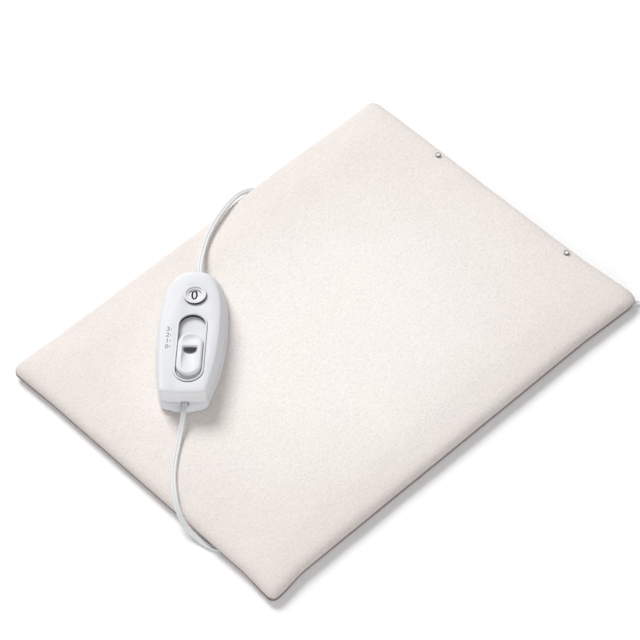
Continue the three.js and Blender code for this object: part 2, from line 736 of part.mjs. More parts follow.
// Hole for a cord at the parting line, at the nose or the tail
function cordHole(x0, x1, line) {
  const half = cordWidth / 2 + cordHoleGap;
  const tall = cordThickness / 2 + cordHoleGap;
  return block(x0, x1, line - half, line + half, partingHeight - tall, partingHeight + tall);
}

function cordHoles() {
  const inner = boxWall * 2;
  return [
    solid(cordHole(partingNose - inner, boxNose + overrun, noseCordLine)),
    solid(cordHole(-boxTail - boxTailBulge - overrun, inner - partingTail, tailCordLine)),
  ];
}

// Detent spring: a steel leaf beside the carriage, with a bump that the notches ride past
const detentHalfLength = 15;
const detentBump = 1.6;
const detentBumpHalf = 1.8;
const detentHeight = 2.2;
const detentThickness = 0.4;
const detentPlace = knobCentre + sliderTravel / 2;
const bridgeContact = knobCentre - bridgeOffset;
const carriageTop = recessFloor - recessWall - seatGap;
const carriageBottom = carriageTop - carriageThickness;
const stripBottom = carriageTop - stripThickness;
const stripFrom = knobCentre + carriageLength / 2 - stripOverlap;
const detentLine = carriageHalfWidth + seatGap + detentBump + detentThickness / 2;
const detentPostLength = 2.4;

function detentPosts() {
  const reach = detentHalfLength + seatGap;
  const posts = [];
  for (const side of [-1, 1]) {
    const x = detentPlace + side * (reach + detentPostLength / 2);
    posts.push(solid(block(x - detentPostLength / 2, x + detentPostLength / 2, detentLine - detentThickness * 2,
      detentLine + detentThickness * 4, carriageBottom, recessFloor)));
  }
  return posts;
}

function buildUpperShell() {
  const well = solid(prism(stadium(recessFrom - recessWall, recessTo + recessWall, recessHalfWidth + recessWall),
    recessFloor - recessWall, boxHeight));
  const outside = solid(upperForm(0));
  let shell = outside.subtract(solid(upperForm(boxWall)).subtract(well));
  for (const [x, y] of housingScrewPlaces) {
    const boss = solid(post(bossRadius, x, y, partingHeight + seatGap / 2, boxHeight));
    shell = shell.add(boss.intersect(outside));
  }
  for (const detent of detentPosts()) shell = shell.add(detent);
  shell = shell.subtract(solid(prism(stadium(recessFrom, recessTo, recessHalfWidth), recessFloor,
    boxHeight + overrun)));
  const slotFrom = knobCentre - stemLength / 2 - stemSlotGap;
  const slotTo = knobCentre + stemLength / 2 + sliderTravel + stemSlotGap;
  const slotHalf = stemWidth / 2 + stemSlotGap;
  shell = shell.subtract(solid(block(slotFrom, slotTo, -slotHalf, slotHalf, recessFloor - overrun,
    recessFloor + seatGap)));
  shell = shell.subtract(solid(post(bezelSpigotRadius + seatGap, windowPlace, 0, boxHeight - boxWall * 2,
    boxHeight + overrun, 32)));
  const stripReach = windowPlace + stripEnd + sliderTravel + seatGap;
  shell = shell.subtract(solid(block(windowPlace, stripReach, -stripHalfWidth - seatGap, stripHalfWidth + seatGap,
    stripBottom - seatGap, carriageTop + seatGap)));
  for (const [x, y] of housingScrewPlaces) {
    const boreTop = screwHeadInset + screwHeadHeight + screwLength + seatGap;
    shell = shell.subtract(solid(post(screwRadius + seatGap, x, y, 0, boreTop, 14)));
  }
  for (const hole of cordHoles()) shell = shell.subtract(hole);
  place(controller, 'controller_upper_shell', geometryOf(shell), 'whitePlastic');
}

const boardPostPlaces = [-1, 1].flatMap((side) => [
  [boardFrom + bossRadius, side * (boardHalfWidth - bossRadius)],
  [boardTo - bossRadius, side * (boardHalfWidth - bossRadius)],
]);

function buildLowerShell() {
  const outside = solid(lowerForm(0));
  let shell = outside.subtract(solid(lowerForm(boxWall)));
  const rim = partingHeight - seatGap / 2;
  for (const [x, y] of housingScrewPlaces) {
    shell = shell.add(solid(post(bossRadius, x, y, boxWall / 2, rim)).intersect(outside));
  }
  const boardPostRadius = bossRadius / 2;
  for (const [x, y] of boardPostPlaces) {
    shell = shell.add(solid(post(boardPostRadius, x, y, boxWall / 2, boardBottom - seatGap, 12)));
  }
  const clampSeat = partingHeight - cordThickness / 2 - seatGap;
  for (const [x, line] of clampPlaces) {
    shell = shell.add(solid(block(x - clampLength / 2, x + clampLength / 2, line - clampHalfWidth,
      line + clampHalfWidth, boxWall / 2, clampSeat)));
  }
  for (const [x, y] of housingScrewPlaces) {
    const headTop = screwHeadInset + screwHeadHeight + seatGap;
    shell = shell.subtract(solid(post(screwHeadRadius + seatGap, x, y, -overrun, headTop)));
    shell = shell.subtract(solid(post(screwRadius + seatGap, x, y, -overrun, rim + overrun, 14)));
  }
  for (const [x, line] of clampPlaces) {
    for (const side of [-1, 1]) {
      const y = line + side * clampScrewOffset;
      shell = shell.subtract(solid(post(clampScrewRadius + seatGap, x, y,
        clampSeat - clampScrewDepth - seatGap, clampSeat + overrun, 10)));
    }
  }
  for (const hole of cordHoles()) shell = shell.subtract(hole);
  place(controller, 'controller_lower_shell', geometryOf(shell), 'whitePlastic');
}

// Screw from a turned profile, with a cross slot cut in its head; the head faces along `facing`
function screw(radius, length, headRadius, headHeight, facing) {
  const profile = [
    [0, 0], [headRadius * 0.8, 0], [headRadius, headHeight * 0.35], [headRadius, headHeight],
    [radius, headHeight], [radius, headHeight + length * 0.9], [0, headHeight + length],
  ].map(([r, h]) => new THREE.Vector2(r, h));
  let body = solid(new THREE.LatheGeometry(profile, 12).rotateX(Math.PI / 2));
  const slotHalf = headRadius * 0.6;
  const slotWide = headRadius * 0.16;
  const slotDeep = headHeight * 0.55;
  body = body.subtract(solid(block(-slotHalf, slotHalf, -slotWide, slotWide, -overrun, slotDeep)));
  body = body.subtract(solid(block(-slotWide, slotWide, -slotHalf, slotHalf, -overrun, slotDeep)));
  const geometry = geometryOf(body);
  return facing > 0 ? geometry.rotateX(Math.PI) : geometry;
}

function buildFasteners() {
  housingScrewPlaces.forEach(([x, y], index) => {
    const geometry = screw(screwRadius, screwLength, screwHeadRadius, screwHeadHeight, -1);
    place(controller, `housing_screw_${index + 1}`, geometry.translate(x, y, screwHeadInset), 'steel');
  });
  let count = 0;
  const clampBottom = partingHeight + cordThickness / 2 - clampHeight / 2 + seatGap;
  clampPlaces.forEach(([x, line], index) => {
    const seat = partingHeight - cordThickness / 2;
    let bar = solid(block(x - clampLength / 2, x + clampLength / 2, line - clampHalfWidth,
      line + clampHalfWidth, seat, clampBottom + clampHeight));
    const half = cordWidth / 2 + seatGap;
    bar = bar.subtract(solid(block(x - clampLength, x + clampLength, line - half, line + half,
      seat - overrun, partingHeight + cordThickness / 2 + seatGap)));
    for (const side of [-1, 1]) {
      const y = line + side * clampScrewOffset;
      bar = bar.subtract(solid(post(clampScrewRadius + seatGap, x, y, seat - overrun,
        clampBottom + clampHeight + overrun, 10)));
      const length = clampBottom + clampHeight - seat + clampScrewDepth;
      const geometry = screw(clampScrewRadius, length, clampScrewHeadRadius, clampScrewHeadHeight, 1);
      count += 1;
      place(controller, `clamp_screw_${count}`,
        geometry.translate(x, y, clampBottom + clampHeight + clampScrewHeadHeight + seatGap), 'steel');
    }
    place(controller, `cord_clamp_${index + 1}`, geometryOf(bar), 'darkPlastic');
  });
}

// Circuit board with the fixed contacts and the parts that the levels switch
function buildBoard() {
  const corner = bossRadius;
  const outline = new THREE.Shape([
    [boardFrom, -boardHalfWidth + corner], [boardFrom + corner, -boardHalfWidth], [boardTo - corner, -boardHalfWidth],
    [boardTo, -boardHalfWidth + corner], [boardTo, boardHalfWidth - corner], [boardTo - corner, boardHalfWidth],
    [boardFrom + corner, boardHalfWidth], [boardFrom, boardHalfWidth - corner],
  ].map(([x, y]) => new THREE.Vector2(x, y)));
  place(controller, 'circuit_board', prism(outline, boardBottom, boardTop), 'board');
  const contactY = -(stripHalfWidth + seatGap + bridgeWidth / 2);
  for (let level = 0; level < levelCount; level += 1) {
    const x = bridgeContact + level * levelPitch;
    place(controller, `fixed_contact_${level}`, block(x - contactLength / 2, x + contactLength / 2,
      contactY - bridgeWidth, contactY + bridgeWidth / 2, boardTop + seatGap, boardTop + seatGap + contactThickness),
    'brass');
  }
  const along = ({ alongShare }) => boardFrom + alongShare * (boardTo - boardFrom);
  const lampRadius = (lampRoomShare * (stripBottom - boardTop - 2 * seatGap)) / 2;
  const parts = [
    ['thermal_fuse', fuse.radius, fuse.length, along(fuse), leadedRow, 'ceramic'],
    ['half_wave_diode', diode.radius, diode.length, along(diode), leadedRow, 'darkPlastic'],
    ['lamp_resistor', resistor.radius, resistor.length, along(resistor), leadedRow, 'ceramic'],
    ['glow_lamp', lampRadius, lampLength, windowPlace, 0, 'lampGlass'],
  ];
  for (const [name, radius, length, x, y, finish] of parts) {
    const cap = radius * 0.4;
    const profile = [
      [0, -length / 2], [radius - cap, -length / 2], [radius, -length / 2 + cap], [radius, length / 2 - cap],
      [radius - cap, length / 2], [0, length / 2],
    ].map(([r, h]) => new THREE.Vector2(r, h));
    const geometry = new THREE.LatheGeometry(profile, 14).rotateZ(Math.PI / 2);
    place(controller, name, geometry.translate(x, y, boardTop + seatGap + radius), finish);
  }
}

// Knob: flange and drafted body with a rounded rim
function knobForm() {
  const base = recessFloor + seatGap;
  const top = recessFloor + knobRise;
  const half = knobLength / 2;
  const ring = (grow, growSide, height) => {
    const outline = stadium(-half - grow, half + grow, knobHalfWidth + growSide).getPoints(10);
    return outline.slice(0, -1).map((point) => new THREE.Vector3(point.x + knobCentre, point.y, height));
  };
  const roundingShares = [[0, 1], [0.2, 0.42], [0.52, 0.12], [1, 0]];
  const rings = [ring(0, 0, base + knobFlangeHeight / 2)];
  for (const [inset, drop] of roundingShares) {
    const grow = -knobDraft - inset * knobRounding;
    rings.push(ring(grow, grow, top - drop * knobRounding));
  }
  const flange = solid(loft([
    ring(knobFlange, knobFlangeSide, base), ring(knobFlange, knobFlangeSide, base + knobFlangeHeight),
  ]));
  const stemBottom = carriageBottom + seatGap / 2;
  const stem = solid(block(knobCentre - stemLength / 2, knobCentre + stemLength / 2, -stemWidth / 2, stemWidth / 2,
    stemBottom, base + knobFlangeHeight));
  return solid(loft(rings)).add(flange).add(stem);
}

// Round-bottomed hollow in the knob's top, from the crest to near one end
function knobHollow(from, to, shares, depth) {
  const top = recessFloor + knobRise;
  const steps = 10;
  const rings = shares.map(([along, wide, deep]) => {
    const x = from + (to - from) * along;
    const half = hollowHalfWidth * wide;
    const ring = [new THREE.Vector3(x, half, top + overrun), new THREE.Vector3(x, -half, top + overrun)];
    for (let step = 0; step <= steps; step += 1) {
      const angle = Math.PI + (Math.PI * step) / steps;
      ring.push(new THREE.Vector3(x, half * Math.cos(angle), top + depth * deep * Math.sin(angle)));
    }
    return ring;
  });
  return loft(to > from ? rings : rings.reverse());
}

function knobCuts() {
  const reach = knobLength / 2 - hollowEndInset;
  const step = knobCentre + scoopFrom;
  return [
    solid(knobHollow(step, knobCentre - reach, scoopShares, scoopDepth)),
    solid(knobHollow(step + crestWidth, knobCentre + reach, bowlShares, bowlDepth)),
  ];
}

// Everything that slides: knob, carriage, numbered strip and moving contact
function buildSlider() {
  let knob = knobForm();
  for (const cut of knobCuts()) knob = knob.subtract(cut);
  place(controller, 'slide_knob', geometryOf(knob), 'whitePlastic');

  const half = carriageLength / 2;
  let carriage = solid(block(knobCentre - half, knobCentre + half, -carriageHalfWidth, carriageHalfWidth,
    carriageBottom, carriageTop));
  carriage = carriage.subtract(solid(block(knobCentre - stemLength / 2 - seatGap, knobCentre + stemLength / 2 + seatGap,
    -stemWidth / 2 - seatGap, stemWidth / 2 + seatGap, carriageBottom - overrun, carriageTop + overrun)));
  for (let level = 0; level < levelCount; level += 1) {
    const x = detentPlace - level * levelPitch;
    const notch = new THREE.Shape([
      new THREE.Vector2(x - detentBumpHalf, carriageHalfWidth + seatGap),
      new THREE.Vector2(x, carriageHalfWidth - notchDepth),
      new THREE.Vector2(x + detentBumpHalf, carriageHalfWidth + seatGap),
    ]);
    carriage = carriage.subtract(solid(prism(notch, carriageBottom - overrun, carriageTop + overrun)));
  }
  carriage = carriage.subtract(solid(block(stripFrom - seatGap, knobCentre + half + overrun,
    -stripHalfWidth - seatGap, stripHalfWidth + seatGap, stripBottom - seatGap, carriageTop + overrun)));
  place(controller, 'slide_carriage', geometryOf(carriage), 'darkPlastic');
  place(controller, 'level_strip', block(stripFrom, windowPlace + stripEnd, -stripHalfWidth, stripHalfWidth,
    stripBottom, carriageTop), 'whitePlastic');

  const contactZ = boardTop + contactThickness + 2 * seatGap + bridgeThickness / 2;
  const bridgeTop = carriageBottom - seatGap - bridgeThickness / 2;
  const rise = bridgeTop - contactZ;
  const profile = bridgeShares.map(([along, height]) => (
    [bridgeContact + bridgeLength * along, contactZ + rise * height]
  ));
  const bridgeY = -(stripHalfWidth + seatGap);
  place(controller, 'contact_bridge', sidePrism(bentStrip(profile, bridgeThickness), bridgeY - bridgeWidth, bridgeY),
    'brass');
}

function buildDetent() {
  const y = detentLine;
  const tip = carriageHalfWidth + seatGap + detentThickness / 2;
  const points = [
    [detentPlace - detentHalfLength, y], [detentPlace - detentBumpHalf * 2, y], [detentPlace - detentBumpHalf / 4, tip],
    [detentPlace + detentBumpHalf / 4, tip], [detentPlace + detentBumpHalf * 2, y], [detentPlace + detentHalfLength, y],
  ];
  const middle = (carriageBottom + carriageTop) / 2;
  place(controller, 'detent_spring', prism(bentStrip(points, detentThickness), middle - detentHeight / 2,
    middle + detentHeight / 2), 'steel');
}

// Raised ring around the window, with a ledge that carries the magnifier
function buildWindow() {
  const seat = boxHeight + seatGap;
  const top = seat + bezelRise;
  const bottom = boxHeight - bezelSpigotDepth;
  const bore = lensRadius + seatGap;
  const ledge = bore - lensLedge;
  const profile = [
    [ledge, bottom], [bezelSpigotRadius, bottom], [bezelSpigotRadius, seat], [bezelRadius, seat],
    [bezelRadius, top - bezelLip / 4], [bezelRadius - bezelLip / 4, top], [bezelRadius - bezelLip, top],
    [bezelRadius - bezelLip, top - bezelDish], [bore, top - bezelDish], [bore, bottom + lensLedgeHeight],
    [ledge, bottom + lensLedgeHeight], [ledge, bottom],
  ];
  const ring = new THREE.LatheGeometry(profile.map(([r, h]) => new THREE.Vector2(r, h)), 32);
  place(controller, 'window_bezel', ring.rotateX(Math.PI / 2).translate(windowPlace, 0, 0), 'whitePlastic');

  const lensBottom = bottom + lensLedgeHeight + seatGap;
  const capSteps = 6;
  const capAngle = Math.asin(lensRadius / lensCurve);
  const lens = [[0, lensBottom], [lensRadius, lensBottom]];
  for (let step = 0; step <= capSteps; step += 1) {
    const angle = capAngle * (1 - step / capSteps);
    const rise = lensCurve * (Math.cos(angle) - Math.cos(capAngle));
    lens.push([lensCurve * Math.sin(angle), lensBottom + lensEdge + rise]);
  }
  const lensGeometry = new THREE.LatheGeometry(lens.map(([r, h]) => new THREE.Vector2(r, h)), 20);
  place(controller, 'window_magnifier', lensGeometry.rotateX(Math.PI / 2).translate(windowPlace, 0, 0), 'clear');
}

// The two free cords, lying flat along their routes
function buildCords() {
  for (const [name, points, steps] of [['pad_cord', padCordRoute, 36], ['mains_cord_run', mainsCordRoute, 68]]) {
    const route = smoothRoute(points);
    const line = [];
    for (let step = 0; step <= steps; step += 1) {
      const share = step / steps;
      line.push({ middle: route.getPointAt(share), along: route.getTangentAt(share), tilt: 0 });
    }
    place(part, name, loft(cordRings(line, cordSection())), 'cordVinyl');
  }
}

// Middle line of the coil with the way that the cord's width points: straight in with a quarter twist,
// spiral in, climb a layer while the spiral turns round, spiral out, straight out with a quarter twist
function coilLine() {
  const [before, last] = mainsCordRoute.slice(-2);
  const heading = Math.atan2(last[1] - before[1], last[0] - before[0]);
  const forward = new THREE.Vector3(Math.cos(heading), Math.sin(heading), 0);
  const right = new THREE.Vector3(Math.sin(heading), -Math.cos(heading), 0);
  const start = new THREE.Vector3(...last).addScaledVector(forward, seatGap);
  const lowZ = floorGap + cordWidth / 2;
  const highZ = lowZ + cordWidth + coilLayerGap;
  const touch = start.clone().addScaledVector(forward, coilLeadIn);
  const centre = touch.clone().addScaledVector(right, coilOuterRadius);
  const pitch = cordThickness + coilTurnGap;
  const middleStep = coilSteps / 2;
  const ease = (share) => share * share * (3 - 2 * share);
  const leadSteps = 8;
  const plainShare = cordWidth / coilLeadIn;
  const twist = (share) => ease(THREE.MathUtils.clamp((share - plainShare) / (1 - 2 * plainShare), 0, 1));
  const line = [];
  for (let step = 0; step < leadSteps; step += 1) {
    const share = step / leadSteps;
    const middle = start.clone().addScaledVector(forward, coilLeadIn * share);
    middle.z = start.z + (lowZ - start.z) * twist(share);
    line.push({ middle, along: forward.clone(), tilt: twist(share) });
  }
  for (let step = 0; step <= coilSteps; step += 1) {
    const turnsFromMiddle = (step - middleStep) / coilStepsPerTurn;
    const radius = coilOuterRadius - pitch * (middleStep / coilStepsPerTurn - Math.abs(turnsFromMiddle));
    const angle = heading + Math.PI / 2 - (Math.PI * 2 * step) / coilStepsPerTurn;
    const climb = ease(THREE.MathUtils.clamp(turnsFromMiddle / coilClimbTurns + 0.5, 0, 1));
    const middle = new THREE.Vector3(centre.x + radius * Math.cos(angle), centre.y + radius * Math.sin(angle),
      lowZ + (highZ - lowZ) * climb);
    line.push({ middle, along: new THREE.Vector3(Math.sin(angle), -Math.cos(angle), 0), tilt: 1 });
  }
  const leave = line[line.length - 1];
  const plugAxis = floorGap + plugThickness / 2;
  for (let step = 1; step <= leadSteps; step += 1) {
    const share = step / leadSteps;
    const middle = leave.middle.clone().addScaledVector(leave.along, coilLeadOut * share);
    middle.z = leave.middle.z + (plugAxis - leave.middle.z) * twist(share);
    line.push({ middle, along: leave.along.clone(), tilt: 1 - twist(share) });
  }
  return { line, centre, lowZ, highZ };
}

// Least gap of the coil to itself, from each point of its middle line to the stretches half a turn away or more
function coilOwnGap(line) {
  let least = Infinity;
  const apart = coilStepsPerTurn / 2;
  for (let here = 0; here < line.length; here += 1) {
    for (let there = here + apart; there + 1 < line.length; there += 1) {
      const from = line[there].middle;
      const span = line[there + 1].middle.clone().sub(from);
      const away = line[here].middle.clone().sub(from);
      const share = THREE.MathUtils.clamp((away.x * span.x + away.y * span.y) / (span.x ** 2 + span.y ** 2), 0, 1);
      away.addScaledVector(span, -share);
      const flat = Math.hypot(away.x, away.y) - cordThickness;
      const upright = Math.abs(away.z) - cordWidth;
      least = Math.min(least, Math.max(flat, upright));
    }
  }
  return least;
}

function lineLength(points) {
  return points.slice(1).reduce((sum, point, index) => sum + point.distanceTo(points[index]), 0);
}

function buildCoil() {
  const { line, centre, lowZ, highZ } = coilLine();
  const shoulder = 0.6;
  const w = cordWidth / 2;
  const t = cordThickness / 2;
  const section = [[t, -w * shoulder], [t, w * shoulder], [0, w], [-t, w * shoulder], [-t, -w * shoulder], [0, -w]];
  place(part, 'mains_cord_coil', loft(cordRings(line, section)), 'cordVinyl');
  const mainsLength = smoothRoute(mainsCordRoute).getLength() + lineLength(line.map(({ middle }) => middle));
  console.log('coil least gap', coilOwnGap(line).toFixed(3));
  console.log('mains cord length', mainsLength.toFixed(0));
  console.log('pad cord length', smoothRoute(padCordRoute).getLength().toFixed(0));
  buildTie(centre, lowZ, highZ);
  buildPlug(line[line.length - 1]);
}

// Tie: a flat band around the coil's turns
function buildTie(centre, lowZ, highZ) {
  const layerTurns = coilSteps / coilStepsPerTurn / 2;
  const inner = coilOuterRadius - layerTurns * (cordThickness + coilTurnGap) - cordThickness / 2 - tieSlack;
  const outer = coilOuterRadius + cordThickness / 2 + seatGap;
  const low = lowZ - cordWidth / 2 - floorGap;
  const high = highZ + cordWidth / 2 + seatGap;
  const band = new THREE.Shape([
    [inner - tieThickness, low], [outer + tieThickness, low], [outer + tieThickness, high + tieThickness],
    [inner - tieThickness, high + tieThickness],
  ].map(([x, y]) => new THREE.Vector2(x, y)));
  const arch = new THREE.Path([
    [inner, low - tieThickness], [outer, low - tieThickness], [outer, high], [inner, high],
  ].map(([x, y]) => new THREE.Vector2(x, y)));
  const tie = solid(sidePrism(band, -tieWidth / 2, tieWidth / 2));
  const window = solid(sidePrism(new THREE.Shape(arch.getPoints()), -tieWidth, tieWidth));
  place(part, 'cord_tie', geometryOf(tie.subtract(window)).translate(centre.x, centre.y, 0), 'darkPlastic');
}

// Rounded rectangle across the plug's axis, in its own frame with the axis along Y
function plugRing(width, thickness, y) {
  const corner = Math.min(width, thickness) * 0.36;
  const shape = new THREE.Shape();
  const w = width / 2;
  const t = thickness / 2;
  shape.absarc(w - corner, t - corner, corner, 0, Math.PI / 2, false);
  shape.absarc(-w + corner, t - corner, corner, Math.PI / 2, Math.PI, false);
  shape.absarc(-w + corner, -t + corner, corner, Math.PI, Math.PI * 1.5, false);
  shape.absarc(w - corner, -t + corner, corner, Math.PI * 1.5, Math.PI * 2, false);
  const points = shape.getPoints(4);
  const open = points[0].distanceTo(points[points.length - 1]) < seatGap / 10 ? points.slice(0, -1) : points;
  return open.map((point) => new THREE.Vector3(-point.x, y, point.y));
}

function buildPlug(end) {
  const plug = new THREE.Group();
  plug.position.copy(end.middle);
  plug.rotation.z = Math.atan2(end.along.y, end.along.x) - Math.PI / 2;
  part.add(plug);
  const boreWide = cordWidth + 2 * seatGap;
  const boreThick = cordThickness + 2 * seatGap;
  const bootFrom = -cordWidth;
  const bootTo = bootFrom + bootLength;
  const ribs = 5;
  const rings = [];
  for (let rib = 0; rib <= ribs; rib += 1) {
    const share = rib / ribs;
    const y = bootFrom + bootLength * share;
    const width = bootTipWidth + (bootRootWidth - bootTipWidth) * share;
    const thickness = bootTipThickness + (bootRootThickness - bootTipThickness) * share;
    rings.push(plugRing(width, thickness, y));
  }
  const bore = solid(block(-boreWide / 2, boreWide / 2, bootFrom - overrun, seatGap, -boreThick / 2, boreThick / 2));
  const boot = solid(loft(rings)).subtract(bore);
  place(plug, 'plug_strain_relief', geometryOf(boot), 'whitePlastic');
  const bodyFrom = bootTo + seatGap;
  const bodyTo = bodyFrom + plugLength;
  const bodyShares = [[0, 0.9, 0.86], [0.04, 1, 0.96], [0.35, 1.28, 1], [0.62, 1.55, 1], [0.97, 1.6, 1], [1, 1.57, 0.96]];
  const bodyRings = bodyShares.map(([along, width, thickness]) => (
    plugRing(Math.min(plugWaist * width, plugWidth), plugThickness * thickness, bodyFrom + plugLength * along)
  ));
  let body = solid(loft(bodyRings));
  for (const side of [-1, 1]) {
    const x = (side * plugPinSpacing) / 2;
    const socket = new THREE.CylinderGeometry(plugPinRadius + seatGap, plugPinRadius + seatGap,
      plugPinRoot + overrun, 16);
    body = body.subtract(solid(socket.translate(x, bodyTo - plugPinRoot + (plugPinRoot + overrun) / 2, 0)));
    const tip = plugPinRadius * 0.5;
    const profile = [
      [0, 0], [plugPinRadius, 0], [plugPinRadius, plugPinRoot + plugPinLength - tip],
      [tip, plugPinRoot + plugPinLength], [0, plugPinRoot + plugPinLength],
    ].map(([r, h]) => new THREE.Vector2(r, h));
    const pin = new THREE.LatheGeometry(profile, 16);
    place(plug, `plug_pin_${side < 0 ? 1 : 2}`, pin.translate(x, bodyTo - plugPinRoot + seatGap, 0), 'brass');
  }
  place(plug, 'plug_body', geometryOf(body), 'whitePlastic');
}

buildCover();
buildElement();
buildStuds();
buildUpperShell();
buildLowerShell();
buildFasteners();
buildBoard();
buildSlider();
buildDetent();
buildWindow();
buildCords();
buildCoil();

export default part;
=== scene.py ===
import bpy, bmesh, json, math
from math import cos, pi, radians, sin
from mathutils import Matrix, Vector, noise


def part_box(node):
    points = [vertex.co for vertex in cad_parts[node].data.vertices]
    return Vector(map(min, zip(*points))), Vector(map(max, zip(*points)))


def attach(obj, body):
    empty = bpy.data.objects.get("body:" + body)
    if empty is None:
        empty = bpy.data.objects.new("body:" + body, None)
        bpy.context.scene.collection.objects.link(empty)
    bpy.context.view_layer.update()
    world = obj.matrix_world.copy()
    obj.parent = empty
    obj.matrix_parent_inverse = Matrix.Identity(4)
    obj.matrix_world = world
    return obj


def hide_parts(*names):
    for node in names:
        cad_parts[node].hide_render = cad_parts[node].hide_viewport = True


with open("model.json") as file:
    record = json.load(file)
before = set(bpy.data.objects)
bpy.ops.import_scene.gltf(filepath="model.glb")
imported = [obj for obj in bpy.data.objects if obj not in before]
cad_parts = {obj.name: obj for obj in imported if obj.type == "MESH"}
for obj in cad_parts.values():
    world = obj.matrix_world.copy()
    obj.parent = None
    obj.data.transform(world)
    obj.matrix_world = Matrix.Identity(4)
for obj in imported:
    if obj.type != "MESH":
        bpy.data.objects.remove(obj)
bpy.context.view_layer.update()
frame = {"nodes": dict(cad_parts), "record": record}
ops = bpy.ops
scene = bpy.context.scene
body = "pad_and_controller"
slider = "level_slider_body"
print("frame loaded:", len(frame["nodes"]), "nodes")

# camera at the photograph's angle
camera = {"place": (-1.03099, -1.15696, 2.04638), "right": (0.72285, -0.69041, -0.02872),
          "down": (-0.56085, -0.56191, -0.60803), "forward": (0.40365, 0.45562, -0.79339), "lens": 181.6}
cameraData = bpy.data.cameras.new("camera")
cameraData.lens = camera["lens"]
cameraData.sensor_width = 36
cameraData.clip_start = 0.05
cameraData.clip_end = 60
cameraObject = bpy.data.objects.new("camera", cameraData)
scene.collection.objects.link(cameraObject)
turn = Matrix((camera["right"], [-v for v in camera["down"]], [-v for v in camera["forward"]])).transposed()
cameraObject.matrix_world = Matrix.Translation(camera["place"]) @ turn.to_4x4()
scene.camera = cameraObject

# finishes: colour pair, blotch scale, roughness range, grain scale, and what only that finish has
finishKeys = ("colour", "second", "blotch", "roughness", "grain")
finishes = {
    "fleece": ((0.95, 0.905, 0.85), (0.95, 0.9, 0.87), 14, (0.9, 1.0), 1300,
        # the fleece's rim colour is painted shade, deepening towards the pad's edges
        {"grainDepth": 0.0003, "clump": 430, "clumpDepth": 0.0005, "sheen": 0.3, "rim": (0.855, 0.79, 0.75),
        "rimReach": (0.23, 0.178), "rimShift": 0.05, "speckle": (640, 0.06),
        # foot and seam are painted shade: darker low on the roll and in a line round its side
        "foot": (0.003, 0.0138, (0.68, 0.65, 0.645)),
        "seam": (0.0052, 0.0008, 0.002, (0.3, 0.27, 0.3))}),
    "felt": ((0.8, 0.78, 0.73), (0.74, 0.72, 0.67), 60, (0.9, 1.0), 900, {"grainDepth": 0.0003,
        "sheen": 0.2}),
    "white_shell": ((0.78, 0.788, 0.815), (0.765, 0.773, 0.8), 25, (0.5, 0.62), 2600, {}),
    "knob": ((0.8, 0.808, 0.838), (0.785, 0.793, 0.823), 40, (0.5, 0.62), 2600,
        # the knob's dark patch in the thumb hollow is painted shadow
        {"hollow": {"place": (-0.1015, 0.0464, 0.0367), "turn": 43.5, "reach": (0.0036, 0.0095, 0.0046),
        "tone": (0.2, 0.2, 0.225)}}),
    "plug": ((0.84, 0.85, 0.855), (0.81, 0.82, 0.825), 40, (0.42, 0.58), 1700, {"grainDepth": 0.00002}),
    "cord": ((0.79, 0.8, 0.81), (0.76, 0.77, 0.78), 60, (0.4, 0.52), 900, {"grainDepth": 0.00003}),
    "dark_plastic": ((0.03, 0.03, 0.033), (0.045, 0.045, 0.05), 90, (0.45, 0.6), 1800,
        {"grainDepth": 0.00002}),
    # the strip's glow is painted light: it shines though it is no lamp
    "strip": ((0.9, 0.85, 0.845), (0.88, 0.83, 0.82), 90, (0.5, 0.6), 2500, {"lit": 0.7}),
    "steel": ((0.56, 0.56, 0.57), (0.5, 0.5, 0.51), 300, (0.25, 0.4), 2500, {"metal": 1}),
    "stud": ((0.3, 0.29, 0.285), (0.24, 0.235, 0.23), 400, (0.3, 0.45), 2500, {"metal": 1}),
    "brass": ((0.72, 0.58, 0.28), (0.64, 0.5, 0.24), 250, (0.22, 0.36), 2500, {"metal": 1}),
    "board": ((0.42, 0.31, 0.13), (0.36, 0.26, 0.11), 120, (0.5, 0.7), 1400, {"grainDepth": 0.00003}),
    "magnifier": ((0.97, 0.98, 0.985), (0.96, 0.975, 0.98), 50, (0.01, 0.03), 400, {"grainDepth": 0.000001,
        "clear": 1, "index": 1.46}),
    "lamp": ((0.95, 0.62, 0.5), (0.92, 0.55, 0.45), 300, (0.04, 0.1), 900, {"clear": 0.7, "index": 1.45}),
    "wire": ((0.55, 0.09, 0.06), (0.46, 0.07, 0.05), 200, (0.5, 0.62), 1500, {"grainDepth": 0.00002}),
    "ceramic": ((0.72, 0.68, 0.58), (0.66, 0.62, 0.53), 300, (0.55, 0.75), 1600, {"grainDepth": 0.00003}),
    "stud_middle": ((0.86, 0.85, 0.83), (0.82, 0.81, 0.79), 300, (0.35, 0.5), 2400, {}),
    "printed_grey": ((0.22, 0.225, 0.24), (0.2, 0.205, 0.22), 300, (0.45, 0.55), 2600, {}),
    "printed_red": ((0.09, 0.03, 0.035), (0.08, 0.027, 0.03), 300, (0.5, 0.6), 2600, {}),
}


# sets the inputs of a shader node, by a link where the value is the output of another node
def feed(tree, node, inputs):
    for key, value in inputs.items():
        if isinstance(value, bpy.types.NodeSocket):
            tree.links.new(value, node.inputs[key])
        else:
            node.inputs[key].default_value = value
    return node


def added(tree, kind, inputs=None, **settings):
    node = tree.nodes.new("ShaderNode" + kind)
    for key, value in settings.items():
        setattr(node, key, value)
    return feed(tree, node, inputs or {})


# ranges of the noise and distance that each effect takes up, and scales as multiples of the blotches'
shading = {"blotchRange": (0.35, 0.65), "glossRange": (0.3, 0.7), "glossScale": 3, "rimRange": (0.42, 1.15),
           "rimScale": 1.7, "rimUneven": 0.35, "speckleRange": (0.3, 0.6), "hollowRange": (0.72, 1.05),
           "grainDepth": 0.00001, "sheenRoughness": 0.5, "index": 1.46}


